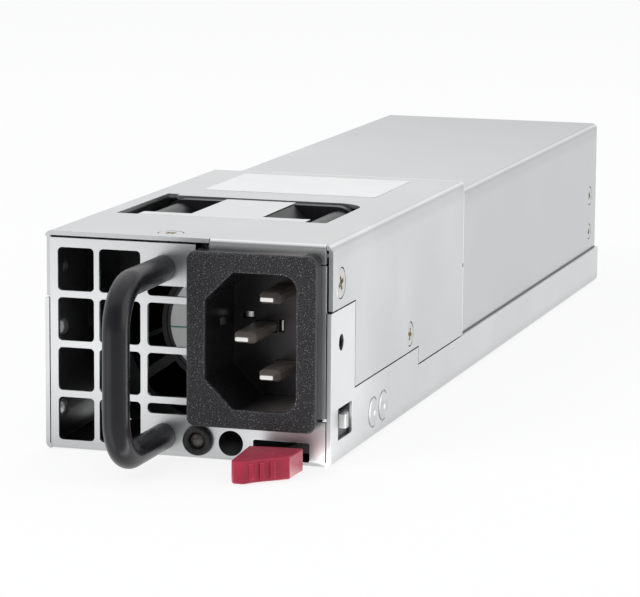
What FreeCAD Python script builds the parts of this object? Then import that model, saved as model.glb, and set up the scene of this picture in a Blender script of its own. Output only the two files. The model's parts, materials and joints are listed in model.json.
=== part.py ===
"""Hot swap server power supply: a slide-in unit with an AC inlet, a fan grille, a pull handle and a
release latch on its front. Writes one STEP file for each separate piece to parts/.

Frame: millimetres, origin at the centre of the bottom face, +Y towards the rear, +Z up. Most sizes
below are measured from the front left bottom corner: across (to the right), deep (to the rear), up.
"""

import FreeCAD, Part
import math
import operator
import os
import Sketcher
from FreeCAD import Placement, Rotation, Vector

SIZES = {
    # case
    "case_width": 54.0,
    "case_height": 40.0,
    "case_length": 220.0,
    "sheet": 0.8,
    "bend": 1.2,  # outside radius of a fold
    "lip_bend": 0.9,  # outside radius of the fold above the inlet
    "seam": 0.3,  # gap where two sheet edges meet
    "slack": 0.1,  # gap round a piece that passes through a hole
    "bite": 0.2,  # how far a piece added to another runs into it
    "fold_run": 0.4,  # flat metal kept beyond a fold
    "overshoot": 2.0,  # how far a cut runs past the metal
    # tray flanges
    "tall_flange_length": 14.8,
    "tall_flange_drop": 12.3,  # every drop is measured down from the top of the case
    "mid_flange_end": 58.0,
    "mid_flange_height": 11.8,
    "low_flange_height": 8.3,
    # front plate
    "plate_edge": 1.0,
    "plate_drop": 1.2,
    "plate_low_drop": 3.8,
    "plate_notch_left": 28.7,
    "lip_left": 31.2,
    "lip_drop": 3.5,
    "fold_notch_left": 19.4,  # from the right side, as the three that follow
    "fold_notch_right": 3.4,
    "relief_left": 1.8,
    "relief_right": 0.9,
    "relief_bottom": 8.2,
    "relief_top": 8.8,
    "fold_notch_height": 0.45,
    # grille
    "grille_bottom": 1.8,
    "grille_drop": 2.9,
    "grille_bar": 1.23,
    "grille_left": 2.5,
    "grille_right": 25.9,  # from the right side
    "end_slot": 1.9,
    "grille_corner": 0.8,
    # covers
    "front_cover_end": 91.6,
    "rear_cover_start": 86.0,
    "rear_cover_drop": 2.0,
    "wall_setback": 0.9,
    # opening over the fan
    "opening_gap": 0.7,
    "opening_before": 0.2,  # in front of the fan, and the next behind it
    "opening_behind": 0.6,
    "opening_corner": 5.7,
    "opening_front_corner": 0.8,
    "opening_step_across": 2.5,
    "opening_step_deep": 1.9,
    "tray_opening_corner": 2.0,
    "step_inset": 2.0,
    # cover screws: front and mid ones are above the flange beside them
    "front_screw_deep": 5.9,
    "front_screw_rise": 4.7,
    "front_screw_head": 2.8,
    "mid_screw_deep": 51.9,
    "mid_screw_rise": 3.6,
    "mid_screw_head": 2.35,
    "top_screw_from_right": 31.6,
    "top_screw_deep": 4.7,
    "top_screw_head": 2.35,
    "screw_shank": 1.2,
    "screw_hole": 1.3,
    "screw_reach": 2.6,
    "screw_sunk": 0.05,
    # tabs and inner flanges that the cover screws reach
    "tab_front": 3.0,
    "tab_rear": 10.8,
    "tab_under": 3.7,  # below the top of the tall flange, as the gauge hole
    "tab_drop": 4.2,
    "inner_step": 17.0,
    "inner_flange_front": 47.0,
    "inner_flange_rear": 57.0,
    "inner_flange_bottom": 6.0,
    "inner_flange_top": 19.6,
    "top_tab_left": 36.6,  # from the right side, as the next
    "top_tab_right": 26.6,
    "top_tab_rear": 10.0,
    # rear screws, measured from the rear end
    "rear_screw_from_end": 6.6,
    "rear_screw_high": 21.4,
    "rear_screw_low": 12.8,
    "rear_screw_high_head": 2.15,
    "rear_screw_low_head": 1.8,
    "rear_screw_high_shank": 1.0,
    "rear_screw_low_shank": 0.9,
    # inlet
    "inlet_from_right": 13.7,
    "bezel_width": 24.0,
    "bezel_bottom": 6.8,
    "bezel_drop": 1.7,
    "bezel_depth": 4.0,
    "bezel_corner": 1.6,
    "bezel_edge": 0.5,
    "socket_width": 17.0,
    "socket_margin": 3.45,  # from the bezel's ends to the socket
    "socket_floor": 12.5,
    "socket_wall": 1.1,
    "socket_cut": 5.2,
    "socket_cut_corner": 0.8,
    "socket_corner": 2.8,
    "window_depth": 1.6,
    "wall_window_depth": 0.8,
    "barb_height": 8.0,
    "barb_reach": 0.7,
    "barb_rear": 5.6,
    "inlet_rear": 15.5,
    "pin_width": 4.0,
    "pin_thickness": 2.0,
    "pin_spacing": 14.0,
    "pin_from_right": 12.1,
    "earth_from_right": 16.1,
    "pin_point": 0.7,
    "pin_chamfer": 0.4,
    "pin_taper": 1.0,
    "pin_tip": 0.4,
    "earth_tip": -1.6,
    "pin_rear": 19.5,
    # handle
    "handle_from_right": 31.4,
    "handle_low": 3.7,
    "handle_drop": 5.8,
    "handle_reach": 23.8,
    "handle_rod": 4.8,
    "handle_bend": 7.7,
    "handle_hole": 1.6,
    "handle_screw": 1.4,
    "handle_screw_head": 2.4,
    "handle_screw_tall": 1.6,
    "handle_screw_run": 7.5,
    # indicator and spare hole
    "led_from_right": 24.7,
    "led_up": 3.5,
    "led_radius": 1.45,
    "led_flange": 0.4,
    "led_dome": 1.0,
    "holder_radius": 2.55,
    "holder_neck": 2.0,
    "holder_depth": 5.5,
    "holder_rim": 0.7,
    "holder_bevel": 0.35,
    "spare_from_right": 18.6,
    "spare_up": 3.3,
    "spare_radius": 2.3,
    # latch
    "slot_left": 14.4,  # from the right side, as the next
    "slot_right": 3.9,
    "slot_top": 4.3,
    "slot_corner": 0.4,
    "window_front": 4.5,
    "window_rear": 13.2,
    "window_bottom": 4.1,
    "window_top": 9.9,
    "window_corner": 0.3,
    "spring_thickness": 0.5,
    "spring_bottom": 1.6,
    "spring_top": 8.9,
    "hinge_deep": 22.0,
    "strap_end": 38.0,
    "arm_front": 2.7,
    "arm_from_right": 7.5,
    "blade_tip": -7.0,
    "blade_drop": 0.6,
    "button_bottom": 0.1,
    "button_top": 4.15,
    "button_edge": 0.25,
    "rib_inset": 0.6,
    "rib_width": 0.6,
    "rib_root": 1.8,
    "tooth_front": 4.8,
    "tooth_rear": 12.0,
    "tooth_crest": 1.9,
    "tooth_edge": 0.5,
    "tooth_bottom": 6.4,
    "tooth_reach": 1.3,
    "rivet_head": 2.65,
    "rivet_groove": 3.0,
    "rivet_shank": 1.3,
    "rivet_hole": 1.35,
    "rivet_tail": 2.0,
    "rivet_tail_depth": 0.7,
    "rivet_proud": 0.22,
    "rivet_dimple": 0.7,
    "groove_depth": 0.3,
    "rivet_front": 26.8,
    "rivet_rear": 33.5,
    "rivet_up": 5.05,
    "gauge_deep": 6.2,
    "gauge_under": 6.0,
    "gauge_radius": 1.5,
    # fan
    "fan_share": 0.4574,  # place of the axis as a share of the case width
    "fan_lift": 0.1,
    "fan_room": 0.4,  # how much less tall the fan is than the case
    "fan_front": 25.4,
    "fan_depth": 26.0,
    "fan_flange": 2.6,
    "fan_wall": 1.1,
    "fan_flat": 13.9,
    "fan_hole_inset": 3.8,
    "fan_hole": 1.7,
    "fan_tube": 3.1,
    "fan_corner": 4.5,
    "clip_half": 16.3,
    "clip_depth": 3.6,
    "clip_setback": 1.6,
    "clip_sheet": 0.3,
    "stator_radius": 11.5,
    "stator_depth": 5.0,
    "strut_width": 1.8,
    "strut_depth": 2.4,
    "badge_rim": 0.9,
    "badge_depth": 0.4,
    "badge_thickness": 0.15,
    "bearing_front": 1.2,
    "rotor_gap": 0.6,
    "hub_radius": 10.4,
    "hub_length": 18.5,
    "blade_root": 1.0,
    "blade_gap": 0.9,
    "shaft_length": 3.6,
    "shaft_radius": 1.2,
    "bearing_radius": 1.27,
    "lead_radius": 0.45,
    "lead_pitch": 1.5,
    "lead_bend": 2.0,
    # blanking plate beside the fan
    "duct_right": 2.8,  # from the right side
    "duct_setback": 1.4,  # in front of the fan's rear face
    "duct_rim": 0.8,
    "duct_half": 10.0,
    # electronics
    "board_bottom": 4.2,
    "board_thickness": 1.6,
    "board_left": 2.4,
    "board_right": 2.4,  # from the right side
    "board_front": 58.0,
    "board_rear": 3.5,  # from the rear end
    "tongue_left": 9.0,
    "tongue_right": 9.0,  # from the right side
    "tongue_rear": 8.0,  # behind the rear end
    "panel_setback": 1.4,
    "panel_flange": 11.1,
    "panel_flange_bottom": 9.4,
    "panel_flange_top": 25.4,
    "tongue_room": 0.7,
    "vent_margin": 3.9,
    "vent_bottom": 10.9,
    "vent_share": 0.464,  # radius as a share of the pitch
    "key_depth": 7.5,
    "contact_thickness": 0.06,
    "contact_front": 7.2,
    "contact_rear": 0.9,
    "post_edge": 6.0,
    "post_front": 64.0,
    "post_front_right": 13.8,  # from the right side
    "post_middle": 80.0,  # from the rear end, as the next
    "post_rear": 9.0,
    "post_hole": 1.6,
    "post_bore": 1.3,
    "post_radius": 2.6,
    "post_screw_run": 4.0,
    "post_screw_tall": 1.5,
    "film_inset": 0.6,
    "film_thickness": 0.25,
    # inlet wiring, fuse and choke
    "wire_radius": 0.95,
    "wire_bend": 2.4,
    "wire_setback": 1.3,
    "fuse_across": 6.4,
    "fuse_front": 69.0,
    "fuse_up": 3.2,
    "fuse_radius": 2.7,
    "fuse_length": 20.0,
    "fuse_cap": 4.6,
    "fuse_clip_front": 1.0,
    "fuse_clip_width": 3.0,
    "fuse_clip_tall": 5.0,
    "clip_spring": 0.5,
    "choke_left": 13.8,
    "choke_right": 19.6,  # from the right side
    "choke_deep": 81.4,
    "choke_radius": 10.3,
    "choke_bore": 4.2,
    "choke_tall": 13.0,
    # heatsinks; a negative place is measured from the rear end
    "primary_sink_front": 74.0,
    "primary_sink_rear": 84.0,  # from the rear end
    "primary_sink_left": 11.8,  # from the right side
    "primary_sink_tall": 27.0,
    "secondary_sink_front": -68.0,
    "secondary_sink_rear": 40.0,  # from the rear end
    "secondary_sink_left": 15.0,  # from the right side
    "secondary_sink_tall": 24.0,
    "sink_plate": 2.0,
    "sink_edge": 2.8,  # from the right side
    "fin_pitch": 5.0,
    "fin_drop": 3.0,
    "fin_thickness": 1.2,
    "device_leg": 3.0,
    # bulk and output capacitors
    "bulk_left": 4.2,
    "bulk_right": 21.0,  # from the right side
    "bulk_front": 111.5,
    "bulk_width_share": 0.15,
    "bulk_height_share": 0.2,
    "bulk_trim": 1.7,
    "bulk_rear": 70.0,  # from the rear end
    "terminal_spread": 5.0,
    "terminal_edge": 1.6,
    "terminal_plate": 0.3,
    "terminal_thickness": 1.2,
    "terminal_run": 1.7,
    "can_first": 7.6,
    "can_pitch": 8.9,
    "can_front": 32.0,  # from the rear end, as the next
    "can_rear": 21.5,
    "can_radius": 3.9,
    "can_tall": 13.0,
    # control card and transformer
    "card_left": 19.0,  # from the right side
    "card_front": 113.0,
    "card_rear": 71.0,  # from the rear end
    "card_thickness": 1.2,
    "card_tall": 24.0,
    "chip_thickness": 1.1,
    "transformer_left": 6.0,
    "transformer_right": 21.0,  # from the right side
    "transformer_front": 65.5,  # from the rear end, as the next
    "transformer_rear": 40.5,
    "core_setback": 3.5,
    "core_drop": 5.2,
    "core_limb": 4.0,
    "core_leg": 9.5,
    "core_yoke": 5.0,
    "winding_corner": 4.0,
    "base_tall": 2.0,
    "base_inset": 0.5,
    "base_rib": 2.2,
    "base_rib_inset": 6.0,
    # label on the top
    "label_left": 9.0,
    "label_right": 10.0,  # from the right side
    "label_front": 61.5,
    "label_rear": 87.0,
    "label_thickness": 0.1,
    "label_corner": 0.6,
}

# Box-shaped components on the main board. Left and right are measured from the left side, or from the
# right side when negative; front and rear are measured from the front, or from the rear when negative.
BLOCK_PARTS = ("left", "right", "front", "rear", "tall")
BLOCKS = {
    "input_terminal_block": (-9.6, -2.8, 60.5, 71.5, 27.0),
    "x_capacitor_front": (11.5, -18.0, 60.5, 69.5, 18.0),
    "x_capacitor_rear": (13.0, -21.0, 93.0, 101.5, 16.0),
    "inrush_relay": (3.8, 11.8, 91.5, 110.0, 15.0),
    "standby_transformer": (-23.0, -11.0, -17.0, -6.0, 14.0),
    "output_choke": (30.4, -8.6, -37.0, -21.5, 18.0),
}

# Start and end of each grille column, as shares of the grille's width.
GRILLE_COLUMNS = [(0.0, 0.27), (0.309, 0.617), (0.668, 1.0)]

# Small windows in the socket's floor: left, bottom, right, top from its centre; and the one in its
# left wall: front, bottom, rear, top.
SOCKET_WINDOWS = [(-6.9, 1.35, -4.7, 2.65), (0.0, -0.85, 1.0, 1.35)]
WALL_WINDOW = (4.6, 0.75, 8.0, 2.45)

RIVETS = ("rivet_front", "rivet_rear")

# Latch button seen from above: distance from the right side, depth and rounding of each corner; and
# the distance from the right side and depth of each grip rib.
BUTTON_OUTLINE = [
    (12.8, -17.4, 1.0), (10.4, -17.4, 1.4), (8.8, -15.2, 6.0),
    (4.1, -10.9, 0.5), (3.9, -3.5, 0.4), (13.7, -4.5, 0.3),
]
BUTTON_RIBS = [(9.4, -16.6), (7.9, -14.95), (6.4, -13.6)]

# Fan: angles of the motor's struts, section of a blade, and path of the supply wires from the axis, as
# shares of half the fan's side.
STRUT_TURNS = (35, 125, 215, 305)
BLADE_OUTLINE = [
    (3.1, 1.2), (3.9, 1.2), (1.9, 6.0), (-0.4, 11.2), (-3.0, 16.6), (-3.8, 16.6), (-1.4, 11.0), (1.0, 5.6),
]
LEAD_PATH = [(-0.414, 0.434), (-0.475, 0.631), (-0.682, 0.838), (-0.717, 0.939)]

# Edge connector, as shares of the tongue's width: the key slot, and each bank's first contact, contact
# width and pitch.
KEYWAY = (0.472, 0.511)
CONTACT_BANKS = {"signal": (0.033, 0.033, 0.067), "power": (0.544, 0.083, 0.111)}

# Devices on each heatsink: start and width as shares of its length, then height and thickness.
HEATSINKS = {
    "primary": [(0.016, 0.306, 15.0, 3.6), (0.371, 0.252, 19.0, 4.4), (0.669, 0.252, 19.0, 4.4)],
    "secondary": [(0.036, 0.429, 14.0, 4.2), (0.518, 0.429, 14.0, 4.2)],
}

# Chips on the control card: start as a share of its length, height, width as a share, and tallness.
CHIPS = [(0.11, 12.0, 0.25, 7.0), (0.5, 13.0, 0.194, 7.0), (0.778, 5.0, 0.139, 6.0)]


class Size:
    """A length that remembers the spreadsheet formula it came from."""

    def __init__(self, value, formula):
        self.value = float(value)
        self.formula = formula

    def __add__(self, other):
        return joined(operator.add, "+", self, other)

    def __radd__(self, other):
        return joined(operator.add, "+", other, self)

    def __sub__(self, other):
        return joined(operator.sub, "-", self, other)

    def __rsub__(self, other):
        return joined(operator.sub, "-", other, self)

    def __mul__(self, other):
        return joined(operator.mul, "*", self, other)

    def __rmul__(self, other):
        return joined(operator.mul, "*", other, self)

    def __truediv__(self, other):
        return joined(operator.truediv, "/", self, other)

    def __neg__(self):
        return self * -1.0


def sized(value):
    return value if isinstance(value, Size) else Size(value, f"({float(value):.6f})")


def joined(action, sign, first, second):
    first, second = sized(first), sized(second)
    return Size(action(first.value, second.value), f"({first.formula} {sign} {second.formula})")


def bind(thing, name, value):
    thing.setExpression(name, sized(value).formula)


DOC = FreeCAD.newDocument("server_power_supply")
SHEET = DOC.addObject("Spreadsheet::Sheet", "sizes")
NODES = []
S = {}

for name, box in BLOCKS.items():
    for suffix, value in zip(BLOCK_PARTS, box):
        SIZES[f"{name}_{suffix}"] = value
for row, (name, value) in enumerate(SIZES.items(), 1):
    SHEET.set(f"A{row}", name)
    SHEET.set(f"B{row}", str(value))
    SHEET.setAlias(f"B{row}", name)
    S[name] = Size(value, f"sizes.{name}")
DOC.recompute()

T = S["sheet"]
FAR = S["overshoot"]


def across(value):
    """Turns a distance from the left side into x."""
    return value - S["case_width"] / 2


def from_right(value):
    """Turns a distance from the right side into x."""
    return S["case_width"] / 2 - value


def crosswise(value):
    """Turns a distance from the left side, or a negative one from the right, into x."""
    return across(value) if value.value >= 0 else from_right(-value)


def deep(value):
    """Turns a distance from the front plate into y."""
    return value - S["case_length"] / 2


def from_rear(value):
    """Turns a distance from the rear end into y."""
    return S["case_length"] / 2 - value


def lengthwise(value):
    """Turns a distance from the front, or a negative one from the rear, into y."""
    return deep(value) if value.value >= 0 else from_rear(-value)


# ---------------------------------------------------------------- drawing helpers


def circle(u, v, radius):
    return ("circle", u, v, radius)


def rectangle(u0, v0, u1, v1, rounding=None):
    corners = [(u0, v0), (u1, v0), (u1, v1), (u0, v1)]
    return corners if rounding is None else [corner + (rounding,) for corner in corners]


def hexagon(u, v, radius):
    turns = [math.radians(60 * k) for k in range(6)]
    return [(u + radius * math.cos(a), v + radius * math.sin(a)) for a in turns]


def unit(u, v):
    length = math.hypot(u, v)
    return u / length, v / length


def pieces_of(corners, closed):
    """Splits an outline with rounded corners into lines and arcs."""
    knots = []
    for i, corner in enumerate(corners):
        u, v = sized(corner[0]), sized(corner[1])
        inner = closed or 0 < i < len(corners) - 1
        if len(corner) < 3 or not inner:
            knots.append((u, v, None))
            continue
        radius = sized(corner[2])
        before, after = corners[i - 1], corners[(i + 1) % len(corners)]
        bu, bv = unit(sized(before[0]).value - u.value, sized(before[1]).value - v.value)
        au, av = unit(sized(after[0]).value - u.value, sized(after[1]).value - v.value)
        half = math.acos(max(-1.0, min(1.0, bu * au + bv * av))) / 2
        run = radius / math.tan(half)
        left_turn = bu * av - bv * au < 0
        knots.append((u + run * bu, v + run * bv, (radius, left_turn, half, bu + au, bv + av, u, v)))
        knots.append((u + run * au, v + run * av, None))
    return knots


def draw(sketch, shape, closed=True):
    """Draws a circle or an outline of (u, v) or (u, v, rounding) corners, each place tied to its size."""
    if shape[0] == "circle":
        u, v, radius = (sized(value) for value in shape[1:])
        ring = sketch.addGeometry(Part.Circle(Vector(u.value, v.value), Vector(0, 0, 1), radius.value))
        tie(sketch, "DistanceX", (-1, 1, ring, 3), u)
        tie(sketch, "DistanceY", (-1, 1, ring, 3), v)
        tie(sketch, "Radius", (ring,), radius)
        return
    knots = pieces_of(shape, closed)
    drawn = []
    for i, (u, v, arc) in enumerate(knots):
        if not closed and i == len(knots) - 1:
            break
        end_u, end_v, _ = knots[(i + 1) % len(knots)]
        start = Vector(u.value, v.value)
        end = Vector(end_u.value, end_v.value)
        if arc is None:
            drawn.append((sketch.addGeometry(Part.LineSegment(start, end)), 1, 2))
            continue
        radius, left_turn, half, mid_u, mid_v, corner_u, corner_v = arc
        mu, mv = unit(mid_u, mid_v)
        reach = radius.value / math.sin(half)
        centre = Vector(corner_u.value + mu * reach, corner_v.value + mv * reach)
        ring = Part.Circle(centre, Vector(0, 0, 1), radius.value)
        first, last = (start, end) if left_turn else (end, start)
        first_angle = math.atan2(first.y - centre.y, first.x - centre.x)
        last_angle = math.atan2(last.y - centre.y, last.x - centre.x)
        if last_angle < first_angle:
            last_angle += 2 * math.pi
        drawn.append(
            (sketch.addGeometry(Part.ArcOfCircle(ring, first_angle, last_angle)),)
            + ((1, 2) if left_turn else (2, 1))
        )
        tie(sketch, "Radius", (drawn[-1][0],), radius)
    for i, (piece, begin, finish) in enumerate(drawn):
        u, v, _ = knots[i]
        tie(sketch, "DistanceX", (-1, 1, piece, begin), u)
        tie(sketch, "DistanceY", (-1, 1, piece, begin), v)
        if closed or i < len(drawn) - 1:
            following, next_begin, _ = drawn[(i + 1) % len(drawn)]
            sketch.addConstraint(
                Sketcher.Constraint("Coincident", piece, finish, following, next_begin)
            )
        else:
            u, v, _ = knots[-1]
            tie(sketch, "DistanceX", (-1, 1, piece, finish), u)
            tie(sketch, "DistanceY", (-1, 1, piece, finish), v)


def tie(sketch, kind, places, value):
    number = sketch.addConstraint(Sketcher.Constraint(kind, *places, value.value))
    if "sizes." in value.formula:
        sketch.setExpression(f"Constraints[{number}]", value.formula)


# ---------------------------------------------------------------- solid helpers

PLANES = {"x": ("YZ_Plane", 1), "y": ("XZ_Plane", -1), "z": ("XY_Plane", 1)}


def origin_part(body, role):
    return [part for part in body.Origin.OriginFeatures if part.Role == role][0]


def new_body(label, base=(0, 0, 0), toward=(0, 0, 1), node=True):
    body = DOC.addObject("PartDesign::Body", label)
    body.Placement = Placement(Vector(0, 0, 0), Rotation(Vector(0, 0, 1), Vector(*toward)))
    for letter, value in zip("xyz", base):
        bind(body, f"Placement.Base.{letter}", value)
    if node:
        NODES.append(body)
    return body


def sketch_on(body, axis, at):
    role, sign = PLANES[axis]
    sketch = body.newObject("Sketcher::SketchObject", f"{body.Label}_sketch")
    sketch.AttachmentSupport = (origin_part(body, role), [""])
    sketch.MapMode = "FlatFace"
    bind(sketch, "AttachmentOffset.Base.z", sized(at) * sign)
    return sketch


def extrude(body, kind, axis, start, end, shapes):
    start, end = sized(start), sized(end)
    outward = (PLANES[axis][1] > 0) == (kind == "Pad")
    sketch = sketch_on(body, axis, start if outward else end)
    for shape in shapes:
        draw(sketch, shape)
    feature = body.newObject(f"PartDesign::{kind}", f"{body.Label}_{kind.lower()}")
    feature.Profile = sketch
    bind(feature, "Length", end - start)
    body.Tip = feature
    return feature


def pad(body, axis, start, end, *shapes):
    """Adds material between two places along an axis."""
    return extrude(body, "Pad", axis, start, end, shapes)


def pocket(body, axis, start, end, *shapes):
    """Removes material between two places along an axis."""
    return extrude(body, "Pocket", axis, start, end, shapes)


def repeat(body, feature, sketch_axis, length, count):
    """Repeats a feature along its own sketch's axis."""
    pattern = body.newObject("PartDesign::LinearPattern", f"{body.Label}_pattern")
    pattern.Originals = [feature]
    pattern.Direction = (feature.Profile[0], [sketch_axis])
    bind(pattern, "Length", length)
    pattern.Occurrences = count
    body.Tip = pattern
    return pattern


def turned(label, profile, base, toward=(0, 0, 1), node=True):
    """Revolves (radius, height) corners about the height axis."""
    body = new_body(label, base, toward, node)
    sketch = sketch_on(body, "y", 0)
    draw(sketch, profile)
    feature = body.newObject("PartDesign::Revolution", f"{label}_turn")
    feature.Profile = sketch
    feature.ReferenceAxis = (sketch, ["V_Axis"])
    feature.Angle = 360
    body.Tip = feature
    return body


def group(label, members):
    compound = DOC.addObject("Part::Compound", label)
    compound.Links = members
    NODES.append(compound)
    return compound


def soften(body, amount, test, kind="Fillet"):
    """Rounds, or chamfers, the edges of a body that pass a test."""
    DOC.recompute()
    base = body.Tip
    names = [f"Edge{i}" for i, edge in enumerate(base.Shape.Edges, 1) if test(edge)]
    feature = body.newObject(f"PartDesign::{kind}", f"{body.Label}_{kind.lower()}")
    feature.Base = (base, names)
    bind(feature, "Radius" if kind == "Fillet" else "Size", amount)
    body.Tip = feature
    return feature


def swept(label, path_axis, path_at, path, profile_axis, profile_at, profile):
    """Carries a round profile along a path drawn on a plane."""
    body = new_body(label)
    spine = sketch_on(body, path_axis, path_at)
    draw(spine, path, closed=False)
    section = sketch_on(body, profile_axis, profile_at)
    draw(section, profile)
    DOC.recompute()
    feature = body.newObject("PartDesign::AdditivePipe", f"{label}_pipe")
    feature.Profile = section
    feature.Spine = (spine, [f"Edge{i + 1}" for i in range(len(spine.Shape.Edges))])
    body.Tip = feature
    return body


# ---------------------------------------------------------------- case


def from_top(name):
    """A height given as a drop from the top of the case."""
    return S["case_height"] - S[name]


def flange_top():
    return from_top("tall_flange_drop")


def inlet_up():
    """Height of the inlet's middle."""
    return (S["bezel_bottom"] + from_top("bezel_drop")) / 2


def fan_centre():
    return across(S["case_width"] * S["fan_share"])


def fan_half():
    return (S["case_height"] - S["fan_room"]) / 2


def fan_up():
    return fan_half() + S["fan_lift"]


def fan_sides():
    """The fan's left and right faces."""
    return fan_centre() - fan_half(), fan_centre() + fan_half()


def fan_rear():
    return deep(S["fan_front"] + S["fan_depth"])


def fan_opening():
    """Left, front, right and rear of the hole that the fan stands in."""
    left, right = fan_sides()
    return (left - S["opening_gap"], deep(S["fan_front"] - S["opening_before"]),
            right + S["opening_gap"], fan_rear() + S["opening_behind"])


def chassis_tray():
    body = new_body("chassis_tray")
    left, right = across(0), from_right(0)
    top = flange_top()
    pad(body, "y", deep(0), from_rear(0), [
        (left, top), (left, 0, S["bend"]), (right, 0, S["bend"]), (right, top), (right - T, top),
        (right - T, T, S["bend"] - T), (left + T, T, S["bend"] - T), (left + T, top),
    ])
    pocket(body, "x", left - FAR, right + FAR, [
        (deep(S["tall_flange_length"]), S["mid_flange_height"]),
        (deep(S["mid_flange_end"]), S["mid_flange_height"]),
        (deep(S["mid_flange_end"]), S["low_flange_height"]),
        (from_rear(-FAR), S["low_flange_height"]),
        (from_rear(-FAR), top + FAR),
        (deep(S["tall_flange_length"]), top + FAR),
    ])
    front_plate(body)
    side_openings(body)
    screw_tabs(body)
    pocket(body, "z", -FAR, T + S["bite"], rectangle(*fan_opening(), S["tray_opening_corner"]))
    return body


def front_plate(body):
    """The folded-up front of the tray with every hole in it."""
    edge_left, edge_right = across(S["plate_edge"]), from_right(S["plate_edge"])
    front, back = deep(-FAR), deep(T + S["bite"])
    fold, plate_top = deep(S["bend"] + S["fold_run"]), from_top("plate_drop")
    pocket(body, "z", -FAR, T + S["bite"], rectangle(edge_left, front, edge_right, fold))
    pad(body, "x", edge_left, edge_right, [
        (fold, 0), (deep(0), 0, S["bend"]), (deep(0), plate_top), (deep(T), plate_top),
        (deep(T), T, S["bend"] - T), (fold, T),
    ])
    half_width, half_height = socket_shell()
    half_width, half_height = half_width + S["slack"], half_height + S["slack"]
    inlet, grip = from_right(S["inlet_from_right"]), from_right(S["handle_from_right"])
    pocket(body, "y", front, back,
           rectangle(across(S["plate_notch_left"]), from_top("plate_low_drop"),
                     edge_right + FAR, S["case_height"]),
           rectangle(inlet - half_width, inlet_up() - half_height,
                     inlet + half_width, inlet_up() + half_height),
           rectangle(from_right(S["slot_left"]), T, from_right(S["slot_right"]), S["slot_top"],
                     S["slot_corner"]),
           circle(from_right(S["led_from_right"]), S["led_up"], S["holder_neck"] + S["slack"]),
           circle(from_right(S["spare_from_right"]), S["spare_up"], S["spare_radius"]),
           circle(grip, S["handle_low"], S["handle_hole"]),
           circle(grip, from_top("handle_drop"), S["handle_hole"]),
           rectangle(from_right(S["relief_left"]), S["relief_bottom"],
                     from_right(S["relief_right"]), S["relief_top"]))
    pocket(body, "y", front, deep(T - S["slack"]),
           rectangle(from_right(S["fold_notch_left"]), -FAR, from_right(S["fold_notch_right"]),
                     S["fold_notch_height"]))
    grille(body, front, back)


def grille(body, front, back):
    """Two columns of four slots and a third whose end slots leave room for the handle's feet."""
    left, low, corner = across(S["grille_left"]), S["grille_bottom"], S["grille_corner"]
    span = from_right(S["grille_right"]) - left
    pitch = (from_top("grille_drop") - low + S["grille_bar"]) / 4
    height, end_slot = pitch - S["grille_bar"], S["end_slot"]
    for start, finish in GRILLE_COLUMNS[:2]:
        hole = pocket(body, "y", front, back,
                      rectangle(left + span * start, low, left + span * finish, low + height, corner))
        repeat(body, hole, "V_Axis", pitch * 3, 4)
    start, finish = GRILLE_COLUMNS[2]
    rows = [(low + height - end_slot, low + height), (low + pitch, low + pitch + height),
            (low + pitch * 2, low + pitch * 2 + height), (low + pitch * 3, low + pitch * 3 + end_slot)]
    pocket(body, "y", front, back,
           *[rectangle(left + span * start, bottom, left + span * finish, top, corner)
             for bottom, top in rows])


def side_openings(body):
    """Latch window, gauge hole and rivet holes in the right flange."""
    right = from_right(0)
    pocket(body, "x", right - T - S["bite"], right + FAR,
           rectangle(deep(S["window_front"]), S["window_bottom"],
                     deep(S["window_rear"]), S["window_top"], S["window_corner"]),
           circle(deep(S["gauge_deep"]), flange_top() - S["gauge_under"], S["gauge_radius"]),
           *[circle(deep(S[place]), S["rivet_up"], S["rivet_hole"]) for place in RIVETS])
    pocket(body, "x", right - S["groove_depth"], right + FAR,
           *[circle(deep(S[place]), S["rivet_up"], S["rivet_groove"]) for place in RIVETS])


def side_screws():
    """Depth, height and head radius of the two screws in each side of the front cover."""
    return {
        "front": (deep(S["front_screw_deep"]), flange_top() + S["front_screw_rise"],
                  S["front_screw_head"]),
        "mid": (deep(S["mid_screw_deep"]), S["mid_flange_height"] + S["mid_screw_rise"],
                S["mid_screw_head"]),
    }


def rear_screw_sizes():
    """Height, head radius and shank radius of the two screws in each side of the rear cover."""
    return {end: (S[f"rear_screw_{end}"], S[f"rear_screw_{end}_head"], S[f"rear_screw_{end}_shank"])
            for end in ("high", "low")}


def screw_tabs(body):
    """Metal folded inside the cover for its screws; on the left it also backs the seam."""
    left, right = across(0), from_right(0)
    tab_top = from_top("tab_drop")
    holes = [circle(y, up, S["screw_hole"]) for y, up, _ in side_screws().values()]
    tab_front, tab_rear = deep(S["tab_front"]), deep(S["tab_rear"])
    low, high, flange_rear = S["inner_flange_bottom"], S["inner_flange_top"], deep(S["inner_flange_rear"])
    pad(body, "x", left + T, left + T * 2, [
        (tab_front, low), (flange_rear, low), (flange_rear, high), (deep(S["inner_step"]), high),
        (deep(S["inner_step"]), tab_top), (tab_front, tab_top),
    ], *holes)
    pad(body, "x", right - T * 2, right - T,
        rectangle(tab_front, flange_top() - S["tab_under"], tab_rear, tab_top),
        rectangle(deep(S["inner_flange_front"]), low, flange_rear, high), *holes)
    plate_top = from_top("plate_drop")
    pad(body, "z", plate_top - T, plate_top,
        rectangle(from_right(S["top_tab_left"]), deep(T),
                  from_right(S["top_tab_right"]), deep(S["top_tab_rear"])),
        circle(from_right(S["top_screw_from_right"]), deep(S["top_screw_deep"]), S["screw_hole"]))


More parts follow.
